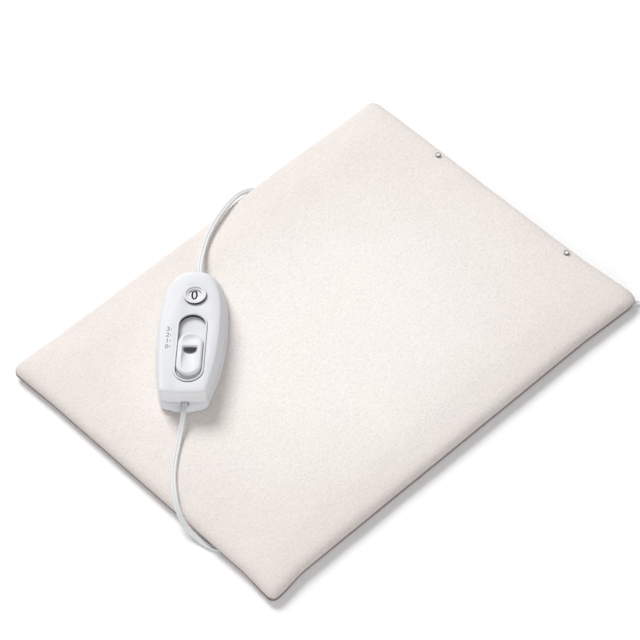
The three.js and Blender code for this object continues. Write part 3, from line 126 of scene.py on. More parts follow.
def makeFinish(name, look):
    mat = bpy.data.materials.new(name)
    mat.use_nodes = True
    tree = mat.node_tree
    shader, surface = tree.nodes["Principled BSDF"], tree.nodes["Material Output"]
    where = added(tree, "TexCoord").outputs["Object"]

    def cloud(scale, detail):
        return added(tree, "TexNoise", {"Scale": scale, "Detail": detail, "Vector": where}).outputs["Fac"]

    def ramp(value, ends, how="SMOOTHSTEP", results=(0, 1)):
        return added(tree, "MapRange", {"From Min": ends[0], "From Max": ends[1], "To Min": results[0],
                                        "To Max": results[1], "Value": value},
                     interpolation_type=how).outputs["Result"]

    def mixed(share, first, second, how="MIX"):
        return added(tree, "Mix", {"Factor": share, "A": first, "B": second}, data_type="RGBA",
                     blend_type=how).outputs["Result"]

    # the tone times a factor that goes from dark to light
    def deepened(tone, share, dark, light=(1, 1, 1)):
        return mixed(1, tone, mixed(share, (*dark, 1), (*light, 1)), "MULTIPLY")

    def bump(depth, height):
        return added(tree, "Bump", {"Strength": 1, "Distance": depth, "Height": height})

    tone = mixed(ramp(cloud(look["blotch"], 3), shading["blotchRange"], "LINEAR"), (*look["colour"], 1),
                 (*look["second"], 1))
    if "rim" in look:  # painted shade: paler in the middle, warmer and deeper towards the edges
        spot = added(tree, "Mapping", {"Location": (0, look["rimShift"], 0), "Vector": where,
                                       "Scale": (1 / look["rimReach"][0], 1 / look["rimReach"][1], 0)})
        away = added(tree, "VectorMath", {0: spot.outputs["Vector"]}, operation="LENGTH")
        uneven = added(tree, "Math", {0: cloud(look["blotch"] * shading["rimScale"], 4), 1: shading["rimUneven"],
                                      2: away.outputs["Value"]}, operation="MULTIPLY_ADD")
        tone = mixed(ramp(uneven.outputs["Value"], shading["rimRange"]), tone, (*look["rim"], 1))
    if "speckle" in look:  # shade between the tufts
        scale, depth = look["speckle"]
        share = ramp(cloud(scale, 2), shading["speckleRange"])
        tone = deepened(tone, share, (1 - depth,) * 3, (1 + depth / 2,) * 3)
    if "foot" in look:  # painted shade, deeper where the roll turns under, with a painted shade line round the middle of the roll's side
        height = added(tree, "SeparateXYZ", {"Vector": where}).outputs["Z"]
        low, high, dark = look["foot"]
        tone = deepened(tone, ramp(height, (low, high)), dark)
        # a painted shade line in a band round the middle of the roll's side
        middle, near, far, dark = look["seam"]
        offset = added(tree, "Math", {0: height, 1: middle}, operation="SUBTRACT")
        distance = added(tree, "Math", {0: offset.outputs["Value"]}, operation="ABSOLUTE")
        tone = deepened(tone, ramp(distance.outputs["Value"], (near, far)), dark)
    if "hollow" in look:  # painted shadow, deeper in the thumb hollow under its crest
        hollow = look["hollow"]
        around = added(tree, "Mapping", {"Location": hollow["place"], "Vector": where, "Scale": hollow["reach"],
                                         "Rotation": (0, 0, radians(hollow["turn"]))}, vector_type="TEXTURE")
        off = added(tree, "VectorMath", {0: around.outputs["Vector"]}, operation="LENGTH")
        tone = deepened(tone, ramp(off.outputs["Value"], shading["hollowRange"]), hollow["tone"])

    gloss = ramp(cloud(look["blotch"] * shading["glossScale"], 4), shading["glossRange"], "LINEAR",
                 look["roughness"])
    grain = bump(look.get("grainDepth", shading["grainDepth"]), cloud(look["grain"], 3))
    if "clump" in look:
        clumps = bump(look["clumpDepth"], cloud(look["clump"], 4))
        feed(tree, grain, {"Normal": clumps.outputs["Normal"]})
    feed(tree, shader, {
        "Base Color": tone, "Roughness": gloss, "Normal": grain.outputs["Normal"], "Metallic": look.get("metal", 0),
        "Sheen Weight": look.get("sheen", 0), "Sheen Roughness": shading["sheenRoughness"],
        "Transmission Weight": look.get("clear", 0), "IOR": look.get("index", shading["index"])})
    # painted light: the strip glows in its own colour, so it shows bright under the clear piece
    if "lit" in look:
        feed(tree, shader, {"Emission Color": (*look["colour"], 1), "Emission Strength": look["lit"]})
    if "clear" in look:  # light reaches what lies under the clear piece, and lamps don't mirror in it
        bend = added(tree, "BsdfRefraction", {"IOR": look["index"], "Color": tone, "Roughness": gloss,
                                              "Normal": grain.outputs["Normal"]})
        choice = added(tree, "MixShader", {
            "Fac": added(tree, "LightPath").outputs["Is Shadow Ray"],
            1: (bend if look["clear"] == 1 else shader).outputs["BSDF"],
            2: added(tree, "BsdfTransparent").outputs["BSDF"]})
        feed(tree, surface, {"Surface": choice.outputs["Shader"]})
    return mat


materials = {name: makeFinish(name, {**dict(zip(finishKeys, row)), **row[5]}) for name, row in finishes.items()}
print("finishes made:", len(materials))

millimetre = Matrix.Scale(0.001, 4)


def pick(obj):
    if bpy.context.object and bpy.context.object.mode != "OBJECT":
        ops.object.mode_set(mode="OBJECT")
    ops.object.select_all(action="DESELECT")
    if obj:
        obj.select_set(True)
        bpy.context.view_layer.objects.active = obj


def applied(obj, kind, **settings):
    pick(obj)
    modifier = obj.modifiers.new(kind.lower(), kind)
    for key, value in settings.items():
        setattr(modifier, key, value)
    ops.object.modifier_apply(modifier=modifier.name)


def softened(obj, width, degrees, segments=3, clamp=False):
    applied(obj, "BEVEL", width=width, segments=segments, limit_method="ANGLE",
            angle_limit=radians(degrees), use_clamp_overlap=clamp)


def cut(obj, tool, how="DIFFERENCE"):
    applied(obj, "BOOLEAN", object=tool, operation=how, solver="EXACT")
    bpy.data.objects.remove(tool, do_unlink=True)


# a piece is modelled in millimetres, then its mesh goes to its place and the object stays at the origin
def seat(obj, name, where, rides, slotName, nodes=(), look=None, smooth=None):
    pick(obj)
    obj.name = name
    obj.data.name = name
    obj.matrix_world = where @ obj.matrix_world
    ops.object.transform_apply()
    if smooth is not None:
        ops.object.shade_smooth_by_angle(angle=radians(smooth))
    obj.data.materials.clear()
    obj.data.materials.append(materials[look or slotName])
    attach(obj, rides)
    if nodes:
        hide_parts(*nodes)
    return obj


# turns the faces of an edited mesh outwards and ends the edit
def finished(obj):
    ops.mesh.select_all(action="SELECT")
    ops.mesh.normals_make_consistent(inside=False)
    ops.object.mode_set(mode="OBJECT")
    return obj


# rings of equal count, extruded from one to the next and closed at both ends
def loft(rings):
    pick(None)
    ops.mesh.primitive_circle_add(vertices=len(rings[0]), radius=1, fill_type="NGON")
    obj = bpy.context.object
    for vertex, point in zip(obj.data.vertices, rings[0]):
        vertex.co = point
    ops.object.mode_set(mode="EDIT")
    ops.mesh.select_mode(type="VERT")
    ops.mesh.select_all(action="SELECT")
    for before, ring in zip(rings, rings[1:]):
        ops.mesh.extrude_region_move()
        mesh = bmesh.from_edit_mesh(obj.data)
        for vertex in [v for v in mesh.verts if v.select]:
            place = vertex.co.copy()
            nearest = min(range(len(before)), key=lambda i: (Vector(before[i]) - place).length_squared)
            vertex.co = ring[nearest]
        bmesh.update_edit_mesh(obj.data)
    return finished(obj)


# a profile of (radius, height) turned round an upright line
def spun(profile, middle, steps, closed=False):
    pick(None)
    ops.mesh.primitive_circle_add(vertices=3, radius=1, fill_type="NOTHING")
    obj = bpy.context.object
    ops.object.mode_set(mode="EDIT")
    mesh = bmesh.from_edit_mesh(obj.data)
    bmesh.ops.delete(mesh, geom=list(mesh.verts), context="VERTS")
    points = [mesh.verts.new((middle[0] + radius, middle[1], height)) for radius, height in profile]
    for start, end in zip(points, points[1:] + points[:1] if closed else points[1:]):
        mesh.edges.new((start, end))
    bmesh.update_edit_mesh(obj.data)
    ops.mesh.select_all(action="SELECT")
    ops.mesh.spin(steps=steps, angle=math.tau, center=(middle[0], middle[1], 0), axis=(0, 0, 1))
    ops.mesh.select_all(action="SELECT")
    ops.mesh.remove_doubles(threshold=0.001)
    return finished(obj)


def block(x0, x1, y0, y1, z0, z1):
    pick(None)
    ops.mesh.primitive_cube_add(size=1, location=((x0 + x1) / 2, (y0 + y1) / 2, (z0 + z1) / 2))
    obj = bpy.context.object
    obj.scale = (x1 - x0, y1 - y0, z1 - z0)
    ops.object.transform_apply()
    return obj


def post(radius, x, y, z0, z1, steps=32):
    pick(None)
    ops.mesh.primitive_cylinder_add(vertices=steps, radius=radius, depth=z1 - z0, location=(x, y, (z0 + z1) / 2))
    obj = bpy.context.object
    ops.object.transform_apply()
    return obj


def stadium(x0, x1, half, height):
    ring, steps = [], 24
    for middle, first in ((x1 - half, -90), (x0 + half, 90)):
        for step in range(steps + 1):
            angle = radians(first + 180 * step / steps)
            ring.append((middle + half * cos(angle), half * sin(angle), height))
    return ring


# smooth rows between the given ones
def between(rows, steps):
    padded = [rows[0]] + list(rows) + [rows[-1]]
    smooth = []
    for index in range(1, len(padded) - 2):
        for step in range(steps):
            t = step / steps
            smooth.append([((2 * b) + (c - a) * t + (2 * a - 5 * b + 4 * c - d) * t * t
                            + (3 * b - a - 3 * c + d) * t ** 3) / 2
                           for a, b, c, d in zip(*padded[index - 1:index + 3])])
    smooth.append(list(rows[-1]))
    return smooth


# the two cords: routes in metres, as the solids lie
cords = {
    "width": 0.0044, "thickness": 0.0024, "lobe": 0.0012, "step": 0.0016,
    "padRoute": [(-.0505, .0942, .0248), (-.0455, .099, .0248), (-.0411, .1031, .0248), (-.0368, .1072, .0247),
                 (-.0325, .1114, .0241), (-.0279, .1158, .0227), (-.0226, .1205, .0206), (-.0164, .1256, .0185),
                 (-.009, .131, .0172), (-.0005, .136, .0166), (.0086, .1405, .0162), (.0183, .1444, .0159),
                 (.0279, .1475, .0151), (.0369, .1502, .0137), (.045, .1521, .0117), (.0522, .1526, .0094),
                 (.0587, .1512, .0078), (.064, .147, .0071), (.0684, .1424, .007), (.0726, .138, .007)],
    "mainsRoute": [(-.1203, .031, .0248), (-.1246, .0269, .0248), (-.129, .0228, .0248), (-.1334, .0187, .0248),
                   (-.1378, .0149, .0243), (-.1422, .0113, .0226), (-.1473, .0073, .0201), (-.1534, .0028, .018),
                   (-.161, -.0029, .0169), (-.1696, -.0099, .0165), (-.178, -.0172, .016), (-.1853, -.0249, .0155),
                   (-.1911, -.0326, .0151), (-.1959, -.0396, .0143), (-.1994, -.0462, .0126), (-.2016, -.0532, .0092),
                   (-.202, -.061, .0052), (-.2014, -.069, .0027), (-.2002, -.077, .0017), (-.1974, -.0846, .0016),
                   (-.1924, -.0909, .0016), (-.185, -.0957, .0016), (-.174, -.099, .0016), (-.11, -.1036, .0016),
                   (-.02, -.1086, .0016), (.08, -.1146, .0016), (.14, -.1196, .0016), (.166, -.1242, .0016),
                   (.184, -.1324, .0016), (.195, -.1432, .0016), (.2018, -.1506, .0016), (.2086, -.1579, .0016)],
    "underPadFrom": 16, "lobeSteps": 12, "grooveAngle": 0.06, "endGap": 0.0003, "leadSteps": 16,
    "outerRadius": 0.0332, "turns": 196 / 24, "stepsPerTurn": 48, "turnGap": 0.0011, "layerGap": 0.0009,
    "climbTurns": 0.25, "leadIn": 0.03, "leadOut": 0.034, "floorGap": 0.0001, "plugThickness": 0.0137,
}


def smoothRoute(route, spacing):
    points = [Vector(point) for point in route]
    points = [2 * points[0] - points[1]] + points + [2 * points[-1] - points[-2]]
    line = []
    for index in range(1, len(points) - 2):
        a, b, c, d = points[index - 1:index + 3]
        before, across, after = [max((q - p).length, 1e-6) ** 0.5 for p, q in ((a, b), (b, c), (c, d))]
        leave = ((b - a) / before - (c - a) / (before + across) + (c - b) / across) * across
        arrive = ((c - b) / across - (d - b) / (across + after) + (d - c) / after) * across
        steps = max(2, math.ceil((c - b).length / spacing))
        for step in range(steps):
            t = step / steps
            line.append(b * (2 * t ** 3 - 3 * t * t + 1) + leave * (t ** 3 - 2 * t * t + t)
                        + c * (3 * t * t - 2 * t ** 3) + arrive * (t ** 3 - t * t))
    line.append(points[-2])
    return line


def withDirections(line):
    rows = []
    for index, middle in enumerate(line):
        along = (line[min(index + 1, len(line) - 1)] - line[max(index - 1, 0)]).normalized()
        rows.append((middle, along, 0))
    return rows


# round and round in two layers, with a straight lead and a quarter twist at each end
def coilLine():
    before, last = [Vector(point) for point in cords["mainsRoute"][-2:]]
    heading = math.atan2(last.y - before.y, last.x - before.x)
    forward = Vector((cos(heading), sin(heading), 0))
    right = Vector((sin(heading), -cos(heading), 0))
    start = last + forward * cords["endGap"]
    lowZ = cords["floorGap"] + cords["width"] / 2
    highZ = lowZ + cords["width"] + cords["layerGap"]
    centre = start + forward * cords["leadIn"] + right * cords["outerRadius"]
    pitch = cords["thickness"] + cords["turnGap"]
    plain = cords["width"] / cords["leadIn"]

    def ease(share):
        share = min(max(share, 0), 1)
        return share * share * (3 - 2 * share)

    def twist(share):
        return ease((share - plain) / (1 - 2 * plain))

    rows = []
    steps = cords["leadSteps"]
    for step in range(steps):
        share = step / steps
        middle = start + forward * cords["leadIn"] * share
        middle.z = start.z + (lowZ - start.z) * twist(share)
        rows.append((middle, forward, twist(share)))
    half = cords["turns"] / 2
    for step in range(round(cords["turns"] * cords["stepsPerTurn"]) + 1):
        turned = step / cords["stepsPerTurn"]
        radius = cords["outerRadius"] - pitch * (half - abs(turned - half))
        angle = heading + pi / 2 - math.tau * turned
        climb = ease((turned - half) / cords["climbTurns"] + 0.5)
        middle = Vector((centre.x + radius * cos(angle), centre.y + radius * sin(angle),
                         lowZ + (highZ - lowZ) * climb))
        rows.append((middle, Vector((sin(angle), -cos(angle), 0)), 1))
    leave, along = rows[-1][0], rows[-1][1]
    axis = cords["floorGap"] + cords["plugThickness"] / 2
    for step in range(1, steps + 1):
        share = step / steps
        middle = leave + along * cords["leadOut"] * share
        middle.z = leave.z + (axis - leave.z) * twist(share)
        rows.append((middle, along, 1 - twist(share)))
    return rows, centre, highZ


# two-core section: two round lobes side by side with a groove between them
def cordSection():
    lobe, steps = cords["lobe"], cords["lobeSteps"]
    offset = cords["width"] / 2 - lobe
    opening = math.acos(-offset / lobe) - cords["grooveAngle"]
    section = []
    for side in (1, -1):
        for step in range(steps + 1):
            angle = side * (opening - 2 * opening * step / steps)
            section.append((side * lobe * sin(angle) * side, side * (offset + lobe * cos(angle))))
    return section


def cordTube(name, rows):
    section = cordSection()
    points = []
    for middle, along, tilt in rows:
        level = Vector((-along.y, along.x, 0)).normalized()
        up = along.cross(level)
        wide = level * cos(tilt * pi / 2) + up * sin(tilt * pi / 2)
        thin = wide.cross(along)
        points += [middle + thin * x + wide * y for x, y in section]
    count = len(section)
    faces = []
    for first in range(0, (len(rows) - 1) * count, count):
        faces += [[first + k, first + (k + 1) % count, first + count + (k + 1) % count, first + count + k]
                  for k in range(count)]
    faces.append(list(range(count)))
    faces.append([(len(rows) - 1) * count + k for k in reversed(range(count))])
    mesh = bpy.data.meshes.new(name)
    mesh.from_pydata(points, [], faces)
    obj = bpy.data.objects.new(name, mesh)
    scene.collection.objects.link(obj)
    pick(obj)
    ops.object.mode_set(mode="EDIT")
    return finished(obj)


padLine = withDirections(smoothRoute(cords["padRoute"], cords["step"]))
padCord = cordTube("cord_to_pad", padLine)
seat(padCord, "cord_to_pad", Matrix(), body, "cord", ("pad_cord",), smooth=50)
coilRows, coilCentre, coilHigh = coilLine()
mainsLine = withDirections(smoothRoute(cords["mainsRoute"], cords["step"])) + coilRows
mainsCord = cordTube("mains_cord", mainsLine)
seat(mainsCord, "mains_cord", Matrix(), body, "cord", ("mains_cord_run", "mains_cord_coil"), smooth=50)
print("cords laid")

# plug with its strain relief and pins, at the end of the coil; its own frame has the cord along Y
plug = {"width": 35.3, "thickness": 13.7, "length": 36, "waist": 22, "pinSpacing": 19, "pinRadius": 2,
        "pinLength": 19, "pinRoot": 5, "reliefLength": 25, "reliefRoot": (12, 9.4), "reliefTip": (6.8, 4.8),
        "ribs": 7, "ribDepth": 0.7, "reliefCorner": 0.45, "reliefEdge": 0.2, "slot": (2.5, 1.5), "edge": 0.35,
        "gap": 0.3, "pinHole": 8, "grips": 4, "gripAcross": (16, 30), "gripAlong": (16.6, 17.6), "gripPitch": 3,
        "gripHalf": 9, "gripStart": 0.4, "gripTaper": 0.15,
        "shares": [(0, .9, .86), (.04, 1, .96), (.35, 1.28, 1), (.62, 1.55, 1), (.97, 1.6, 1), (1, 1.57, .96)]}
plugEnd, plugAlong = mainsLine[-1][0], mainsLine[-1][1]
plugTurn = math.atan2(plugAlong.y, plugAlong.x) - pi / 2
plugFrame = Matrix.Translation(plugEnd) @ Matrix.Rotation(plugTurn, 4, "Z") @ millimetre


def roundedBar(width, thickness, y, corner=0.36):
    radius, steps = min(width, thickness) * corner, 8
    ring = []
    for sideX, sideZ, first in ((1, 1, 0), (-1, 1, 90), (-1, -1, 180), (1, -1, 270)):
        for step in range(steps + 1):
            angle = radians(first + 90 * step / steps)
            ring.append((sideX * (width / 2 - radius) + radius * cos(angle), y,
                         sideZ * (thickness / 2 - radius) + radius * sin(angle)))
    return ring


def buildPlug():
    start, length, corner = -cords["width"] * 1000, plug["reliefLength"], plug["reliefCorner"]
    (tipWide, tipThick), (rootWide, rootThick) = plug["reliefTip"], plug["reliefRoot"]
    rings = []
    for rib in range(plug["ribs"]):
        for along, inset in ((0, 0), (0.5, 0), (0.58, plug["ribDepth"]), (0.92, plug["ribDepth"])):
            share = (rib + along) / plug["ribs"]
            width = tipWide + (rootWide - tipWide) * share
            thickness = tipThick + (rootThick - tipThick) * share
            rings.append(roundedBar(width - inset, thickness - inset, start + length * share, corner))
    rings.append(roundedBar(rootWide, rootThick, start + length, corner))
    relief = loft(rings)
    slotWide, slotThick = plug["slot"]
    cut(relief, block(-slotWide, slotWide, start - 3, plug["gap"], -slotThick, slotThick))
    softened(relief, plug["reliefEdge"], 40, segments=2)
    seat(relief, "ribbed_strain_relief", plugFrame, body, "plug", ("plug_strain_relief",), smooth=40)

    near = start + length + plug["gap"]
    far = near + plug["length"]
    casing = loft([roundedBar(min(plug["waist"] * wide, plug["width"]), plug["thickness"] * thick,
                              near + plug["length"] * along) for along, wide, thick in between(plug["shares"], 5)])
    for side in (-1, 1):
        pick(None)
        ops.mesh.primitive_cylinder_add(
            vertices=32, radius=plug["pinRadius"] + plug["gap"], depth=plug["pinHole"], rotation=(pi / 2, 0, 0),
            location=(side * plug["pinSpacing"] / 2, far - plug["pinRoot"] + plug["pinHole"] / 2, 0))
        cut(casing, bpy.context.object)
        for row in range(plug["grips"]):
            (x0, x1), (y0, y1) = plug["gripAcross"], [near + y + row * plug["gripPitch"] for y in plug["gripAlong"]]
            grip = block(side * x0, side * x1, y0, y1, -plug["gripHalf"], plug["gripHalf"])
            grip.data.transform(Matrix.Translation((side * (plug["gripStart"] + plug["gripTaper"] * row), 0, 0)))
            cut(casing, grip)
    softened(casing, plug["edge"], 38)
    seat(casing, "moulded_plug_body", plugFrame, body, "plug", ("plug_body",), smooth=35)

    pins, turned = [], Matrix.Rotation(-pi / 2, 4, "X")
    for side, node in ((-1, "plug_pin_1"), (1, "plug_pin_2")):
        radius, length = plug["pinRadius"], plug["pinRoot"] + plug["pinLength"]
        angles = [step * pi / 16 for step in range(9)]
        tip = [(radius * cos(angle), length - radius + radius * sin(angle)) for angle in angles]
        pin = spun([(0, 0), (radius, 0)] + tip[:-1] + [(0, length)], (0, 0), 40)
        place = (side * plug["pinSpacing"] / 2, far - plug["pinRoot"] + plug["gap"], 0)
        pin.data.transform(Matrix.Translation(place) @ turned)
        pins.append(seat(pin, "round_" + node, plugFrame, body, "brass", (node,), smooth=30))
    return [relief, casing] + pins


plugPieces = buildPlug()

# strap that holds the coil together
tie = {"width": 9, "thickness": 1, "slack": 1.1, "edge": 0.3}


def buildTie():
    pitch = (cords["thickness"] + cords["turnGap"]) * 1000
    outer = cords["outerRadius"] * 1000 + cords["thickness"] * 500 + 0.3
    inner = cords["outerRadius"] * 1000 - cords["turns"] / 2 * pitch - cords["thickness"] * 500 - tie["slack"]
    high = coilHigh * 1000 + cords["width"] * 500 + 0.3
    strap = block(inner - tie["thickness"], outer + tie["thickness"], -tie["width"] / 2, tie["width"] / 2, 0.02,
                  high + tie["thickness"])
    cut(strap, block(inner, outer, -tie["width"], tie["width"], -2, high))
    softened(strap, tie["edge"], 40, clamp=True)
    where = Matrix.Translation((coilCentre.x, coilCentre.y, 0)) @ millimetre
    return seat(strap, "coil_strap", where, body, "dark_plastic", ("cord_tie",), smooth=35)


strap = buildTie()
print("plug and strap made")

# the pad: a soft bag with rolled edges, blown up by a cloth simulation from a slightly smaller shape
pad = {
    "halfLength": 200, "halfWidth": 150, "bowOut": 0.1, "backOut": 1.1, "margin": 0.4,
    "corners": {(1, -1): (9, 1.6), (1, 1): (7, 0.5), (-1, 1): (7, 0.5), (-1, -1): (4, 0.8)},
    "pulls": [(0.2, -0.15, 0.0032, -0.0022, 0.062, 0.02), (-0.2, -0.15, -0.0024, -0.004, 0.034, 0.08),
              (-0.2, 0.15, -0.0012, 0.0012, 0.05, 0), (0.2, 0.15, 0, 0.0012, 0.05, 0),
              (0.085, 0.15, 0, 0.0018, 0.09, 0)],
    "profile": [(11.4, 0), (5, .44), (1.5, 2.3), (0, 4.9), (.4, 7.2), (1.8, 9.3), (4.4, 11.1), (8.4, 12.3),
                (14, 13.1), (22, 13.8), (36, 14.6), (53.6, 15)],
    "voxel": 0.004, "pressure": 4, "most": 0.0013, "frames": 20, "evenings": 6,
    "tunnelHalf": 0.0032, "tunnelFade": 0.0036, "tunnelHeight": 0.0037,
    "unevenness": 0.0004, "restHeight": 0.0152, "ease": 5000, "heldBelow": 0.0036,
}


def padRing(inset, height):
    ring = []
    order = [(1, -1), (1, 1), (-1, 1), (-1, -1)]
    length, width = pad["halfLength"] - inset, pad["halfWidth"] - inset
    corners = []
    for sideX, sideY in order:
        least, growth = pad["corners"][(sideX, sideY)]
        radius = least + max(inset, 0) * growth
        corners.append((sideX * (length - radius), sideY * (width - radius), radius))
    for corner, (x, y, radius) in enumerate(corners):
        for step in range(9):
            angle = (corner - 1 + step / 8) * pi / 2
            ring.append((x + radius * cos(angle), y + radius * sin(angle)))
        last = ring[-1]
        nextX, nextY, nextRadius = corners[(corner + 1) % 4]
        angle = corner * pi / 2
        first = (nextX + nextRadius * cos(angle), nextY + nextRadius * sin(angle))
        for step in range(1, 24):
            share = step / 24
            ring.append((last[0] + (first[0] - last[0]) * share, last[1] + (first[1] - last[1]) * share))
    return [(x * (1 + pad["bowOut"] / length * (1 - (y / width) ** 2)),
             y * (1 + pad["bowOut"] / width * (1 - (x / length) ** 2)) + pad["backOut"] * max(y, 0) / width, height)
            for x, y in ring]


def blowUp(obj):
    start = [vertex.co.copy() for vertex in obj.data.vertices]
    outwards = [vertex.normal.copy() for vertex in obj.data.vertices]
    held = obj.vertex_groups.new(name="held")
    held.add([v.index for v in obj.data.vertices if v.co.z < pad["heldBelow"]], 1, "REPLACE")
    cloth = obj.modifiers.new("cloth", "CLOTH")
    cloth.settings.use_pressure = True
    cloth.settings.uniform_pressure_force = pad["pressure"]
    cloth.settings.effector_weights.gravity = 0
    cloth.settings.vertex_group_mass = "held"
    for step in range(1, pad["frames"] + 1):
        scene.frame_set(step)
    shown = obj.evaluated_get(bpy.context.evaluated_depsgraph_get())
    moved = [vertex.co.copy() for vertex in shown.data.vertices]
    obj.modifiers.remove(cloth)
    scene.frame_set(1)
    obj.vertex_groups.remove(held)
    steps = []
    for before, after, normal in zip(start, moved, outwards):
        step = after - before
        step -= normal * min(step.dot(normal), 0)  # it swells and never shrinks
        steps.append(step * min(1, pad["most"] / max(step.length, 1e-9)))
    for _ in range(pad["evenings"]):
        sums, counts = [step.copy() for step in steps], [1] * len(steps)
        for edge in obj.data.edges:
            a, b = edge.vertices
            sums[a] += steps[b]
            sums[b] += steps[a]
            counts[a] += 1
            counts[b] += 1
        steps = [total / count for total, count in zip(sums, counts)]
    for vertex, before, step in zip(obj.data.vertices, start, steps):
        vertex.co = before + step


def buildPad():
    small = pad["margin"]
    top = pad["profile"][-1][1]
    rings = []
    for inset, height in pad["profile"]:
        low = 0.1 if height < 0.1 else height
        rings.append(padRing(inset + small * min(1, height / 4), low * (top - small) / top))
    bag = loft(rings)
    bag.matrix_world = millimetre
    ops.object.transform_apply()
    bag.data.remesh_voxel_size = pad["voxel"]
    ops.object.voxel_remesh()
    blowUp(bag)
    applied(bag, "SUBSURF", levels=1, render_levels=1)
    route = [(point.x, point.y) for point in smoothRoute(cords["mainsRoute"][cords["underPadFrom"]:], 0.003)]
    for vertex in bag.data.vertices:
        for cornerX, cornerY, pullX, pullY, reach, droop in pad["pulls"]:
            held = max(0, 1 - ((vertex.co.x - cornerX) ** 2 + (vertex.co.y - cornerY) ** 2) / reach ** 2) ** 1.5
            vertex.co += Vector((pullX, pullY, -droop * vertex.co.z)) * held
        x, y, z = vertex.co
        away = math.hypot(max(abs(x) - 0.11, 0), max(abs(y) - 0.06, 0))
        soft = noise.noise(Vector((x, y, z)) * 22) + 0.5 * noise.noise(Vector((x, y, z)) * 60)
        lift = pad["unevenness"] * soft * min(1, z / 0.008) * (0.35 + min(1, away / 0.05))
        if z > 0.006:
            z += lift
        elif y < -0.07 or (x < -0.18 and y < -0.04):
            near = min((x - rx) ** 2 + (y - ry) ** 2 for rx, ry in route) ** 0.5
            fall = min(max((near - pad["tunnelHalf"]) / pad["tunnelFade"], 0), 1)
            need = pad["tunnelHeight"] * (1 - fall * fall * (3 - 2 * fall))
            z = max(z, need + z * (1 - need / 0.008))
        # eases off below the limit
        z = pad["restHeight"] - math.log1p(math.exp((pad["restHeight"] - z) * pad["ease"])) / pad["ease"]
        vertex.co.z = max(z, 0.00002)
    return bag


padCover = seat(buildPad(), "fleece_pad", Matrix(), body, "fleece", ("fleece_cover",), smooth=180)
print("pad made:", len(padCover.data.vertices), "points")

# controller housing, in its own frame: nose towards +X, slider on the middle line, foot at 0
housing = {
    "place": (-0.0849, 0.0621, 0.0153), "turn": 43.5,
    "nose": 65.2, "tail": 66.2, "half": 28.1, "tailHalf": 17.8, "height": 24, "wall": 2, "corner": 8, "bulge": 2.6,
    "nosePower": 2.7, "sidePower": 2, "shift": 1.6, "sway": 1.8, "parting": 9.504, "seam": 0.3, "edge": 0.3,
    "sections": [[0, .92, .897, .937, .854, .8, .9], [.0625, .969, .968, .986, .955, 1, 1],
                 [.1875, 1, 1, 1, .994, 1, 1], [.3, .997, .982, .982, .989, .9, .95],
                 [.396, .982, .947, .955, 1, .4, .45], [.583, .945, .915, .952, 1, .35, .4],
                 [.771, .89, .875, .953, 1, .35, .4], [.908, .831, .836, .955, .994, .35, .4],
                 [.967, .791, .815, .953, .989, .35, .4], [1, .748, .744, .934, .925, .35, .4]],
    "partingRow": 4, "cordLines": (-0.4, 1.8), "cordGap": 0.45,
    "recess": (-54.4, 12.6), "recessHalf": 11.3, "recessFloor": 20.4, "recessWall": 1.6,
    "window": 30.4, "windowHole": 7.9, "stemSlot": (-32.05, -6.35, 3.35),
    "stripPocket": (30.4, 55.3, -4.7, 4.7, 17.2, 18.8),
    "bosses": ((47.2, 14), (-52.8, 13.4)), "bossRadius": 3.6, "screwHole": 1.8, "headHole": 3.1, "headDepth": 2.7,
}
controllerFrame = (Matrix.Translation(housing["place"]) @ Matrix.Rotation(radians(housing["turn"]), 4, "Z")
                   @ millimetre)


def bodyMiddle(x):
    return housing["shift"] + housing["sway"] * (min(x, 0) / housing["tail"]) ** 2


def housingRing(row, margin, height):
    nose, half = housing["nose"] * row[1] - margin, housing["half"] * row[2] - margin
    tail, tailHalf = housing["tail"] * row[3] - margin, housing["tailHalf"] * row[4] - margin
    bulge, corner = housing["bulge"] * row[5], housing["corner"] * row[6]
    power = 2 / housing["nosePower"]
    ring = []
    for step in range(64):
        angle = -pi / 2 + pi * step / 64
        c, s = abs(cos(angle)), sin(angle)
        ring.append((nose * c ** power, half * math.copysign(abs(s) ** power, s)))
    straight = tail - corner

    def widthAt(x):
        return half - (half - tailHalf) * (abs(x) / tail) ** housing["sidePower"]

    left = [(-straight * step / 16, widthAt(straight * step / 16)) for step in range(16)]
    cornerY = widthAt(straight) - corner
    for step in range(9):
        angle = radians(90 + 90 * step / 8)
        left.append((-straight + corner * cos(angle), cornerY + corner * sin(angle)))
    for step in range(1, 5):
        y = cornerY * (1 - step / 4)
        left.append((-tail - bulge * (1 - (y / cornerY) ** 2), y))
    ring += left + [(x, -y) for x, y in left[-2:0:-1]]
    return [(x, y + bodyMiddle(x), height) for x, y in ring]


def housingForm(rows, margin, low, high, overrunAt):
    rings = []
    first, last = rows[0][0] * housing["height"], rows[-1][0] * housing["height"]
    for row in rows:
        share = (row[0] * housing["height"] - first) / (last - first)
        rings.append(housingRing(row, margin, low + (high - low) * min(share, 1)))
    if margin and overrunAt == "low":
        rings.insert(0, housingRing(rows[0], margin, low - 3))
    if margin and overrunAt == "high":
        rings.append(housingRing(rows[-1], margin, high + 3))
    return loft(rings)


def cordNotches(obj):
    parting = housing["parting"]
    half = cords["width"] * 500 + housing["cordGap"]
    tall = cords["thickness"] * 500 + housing["cordGap"]
    for x0, x1, line in ((58, 70, housing["cordLines"][0]), (-72, -59, housing["cordLines"][1])):
        cut(obj, block(x0, x1, line - half, line + half, parting - tall, parting + tall))


def housingBosses():
    return [(x, bodyMiddle(x) + side * offset) for side in (-1, 1) for x, offset in housing["bosses"]]


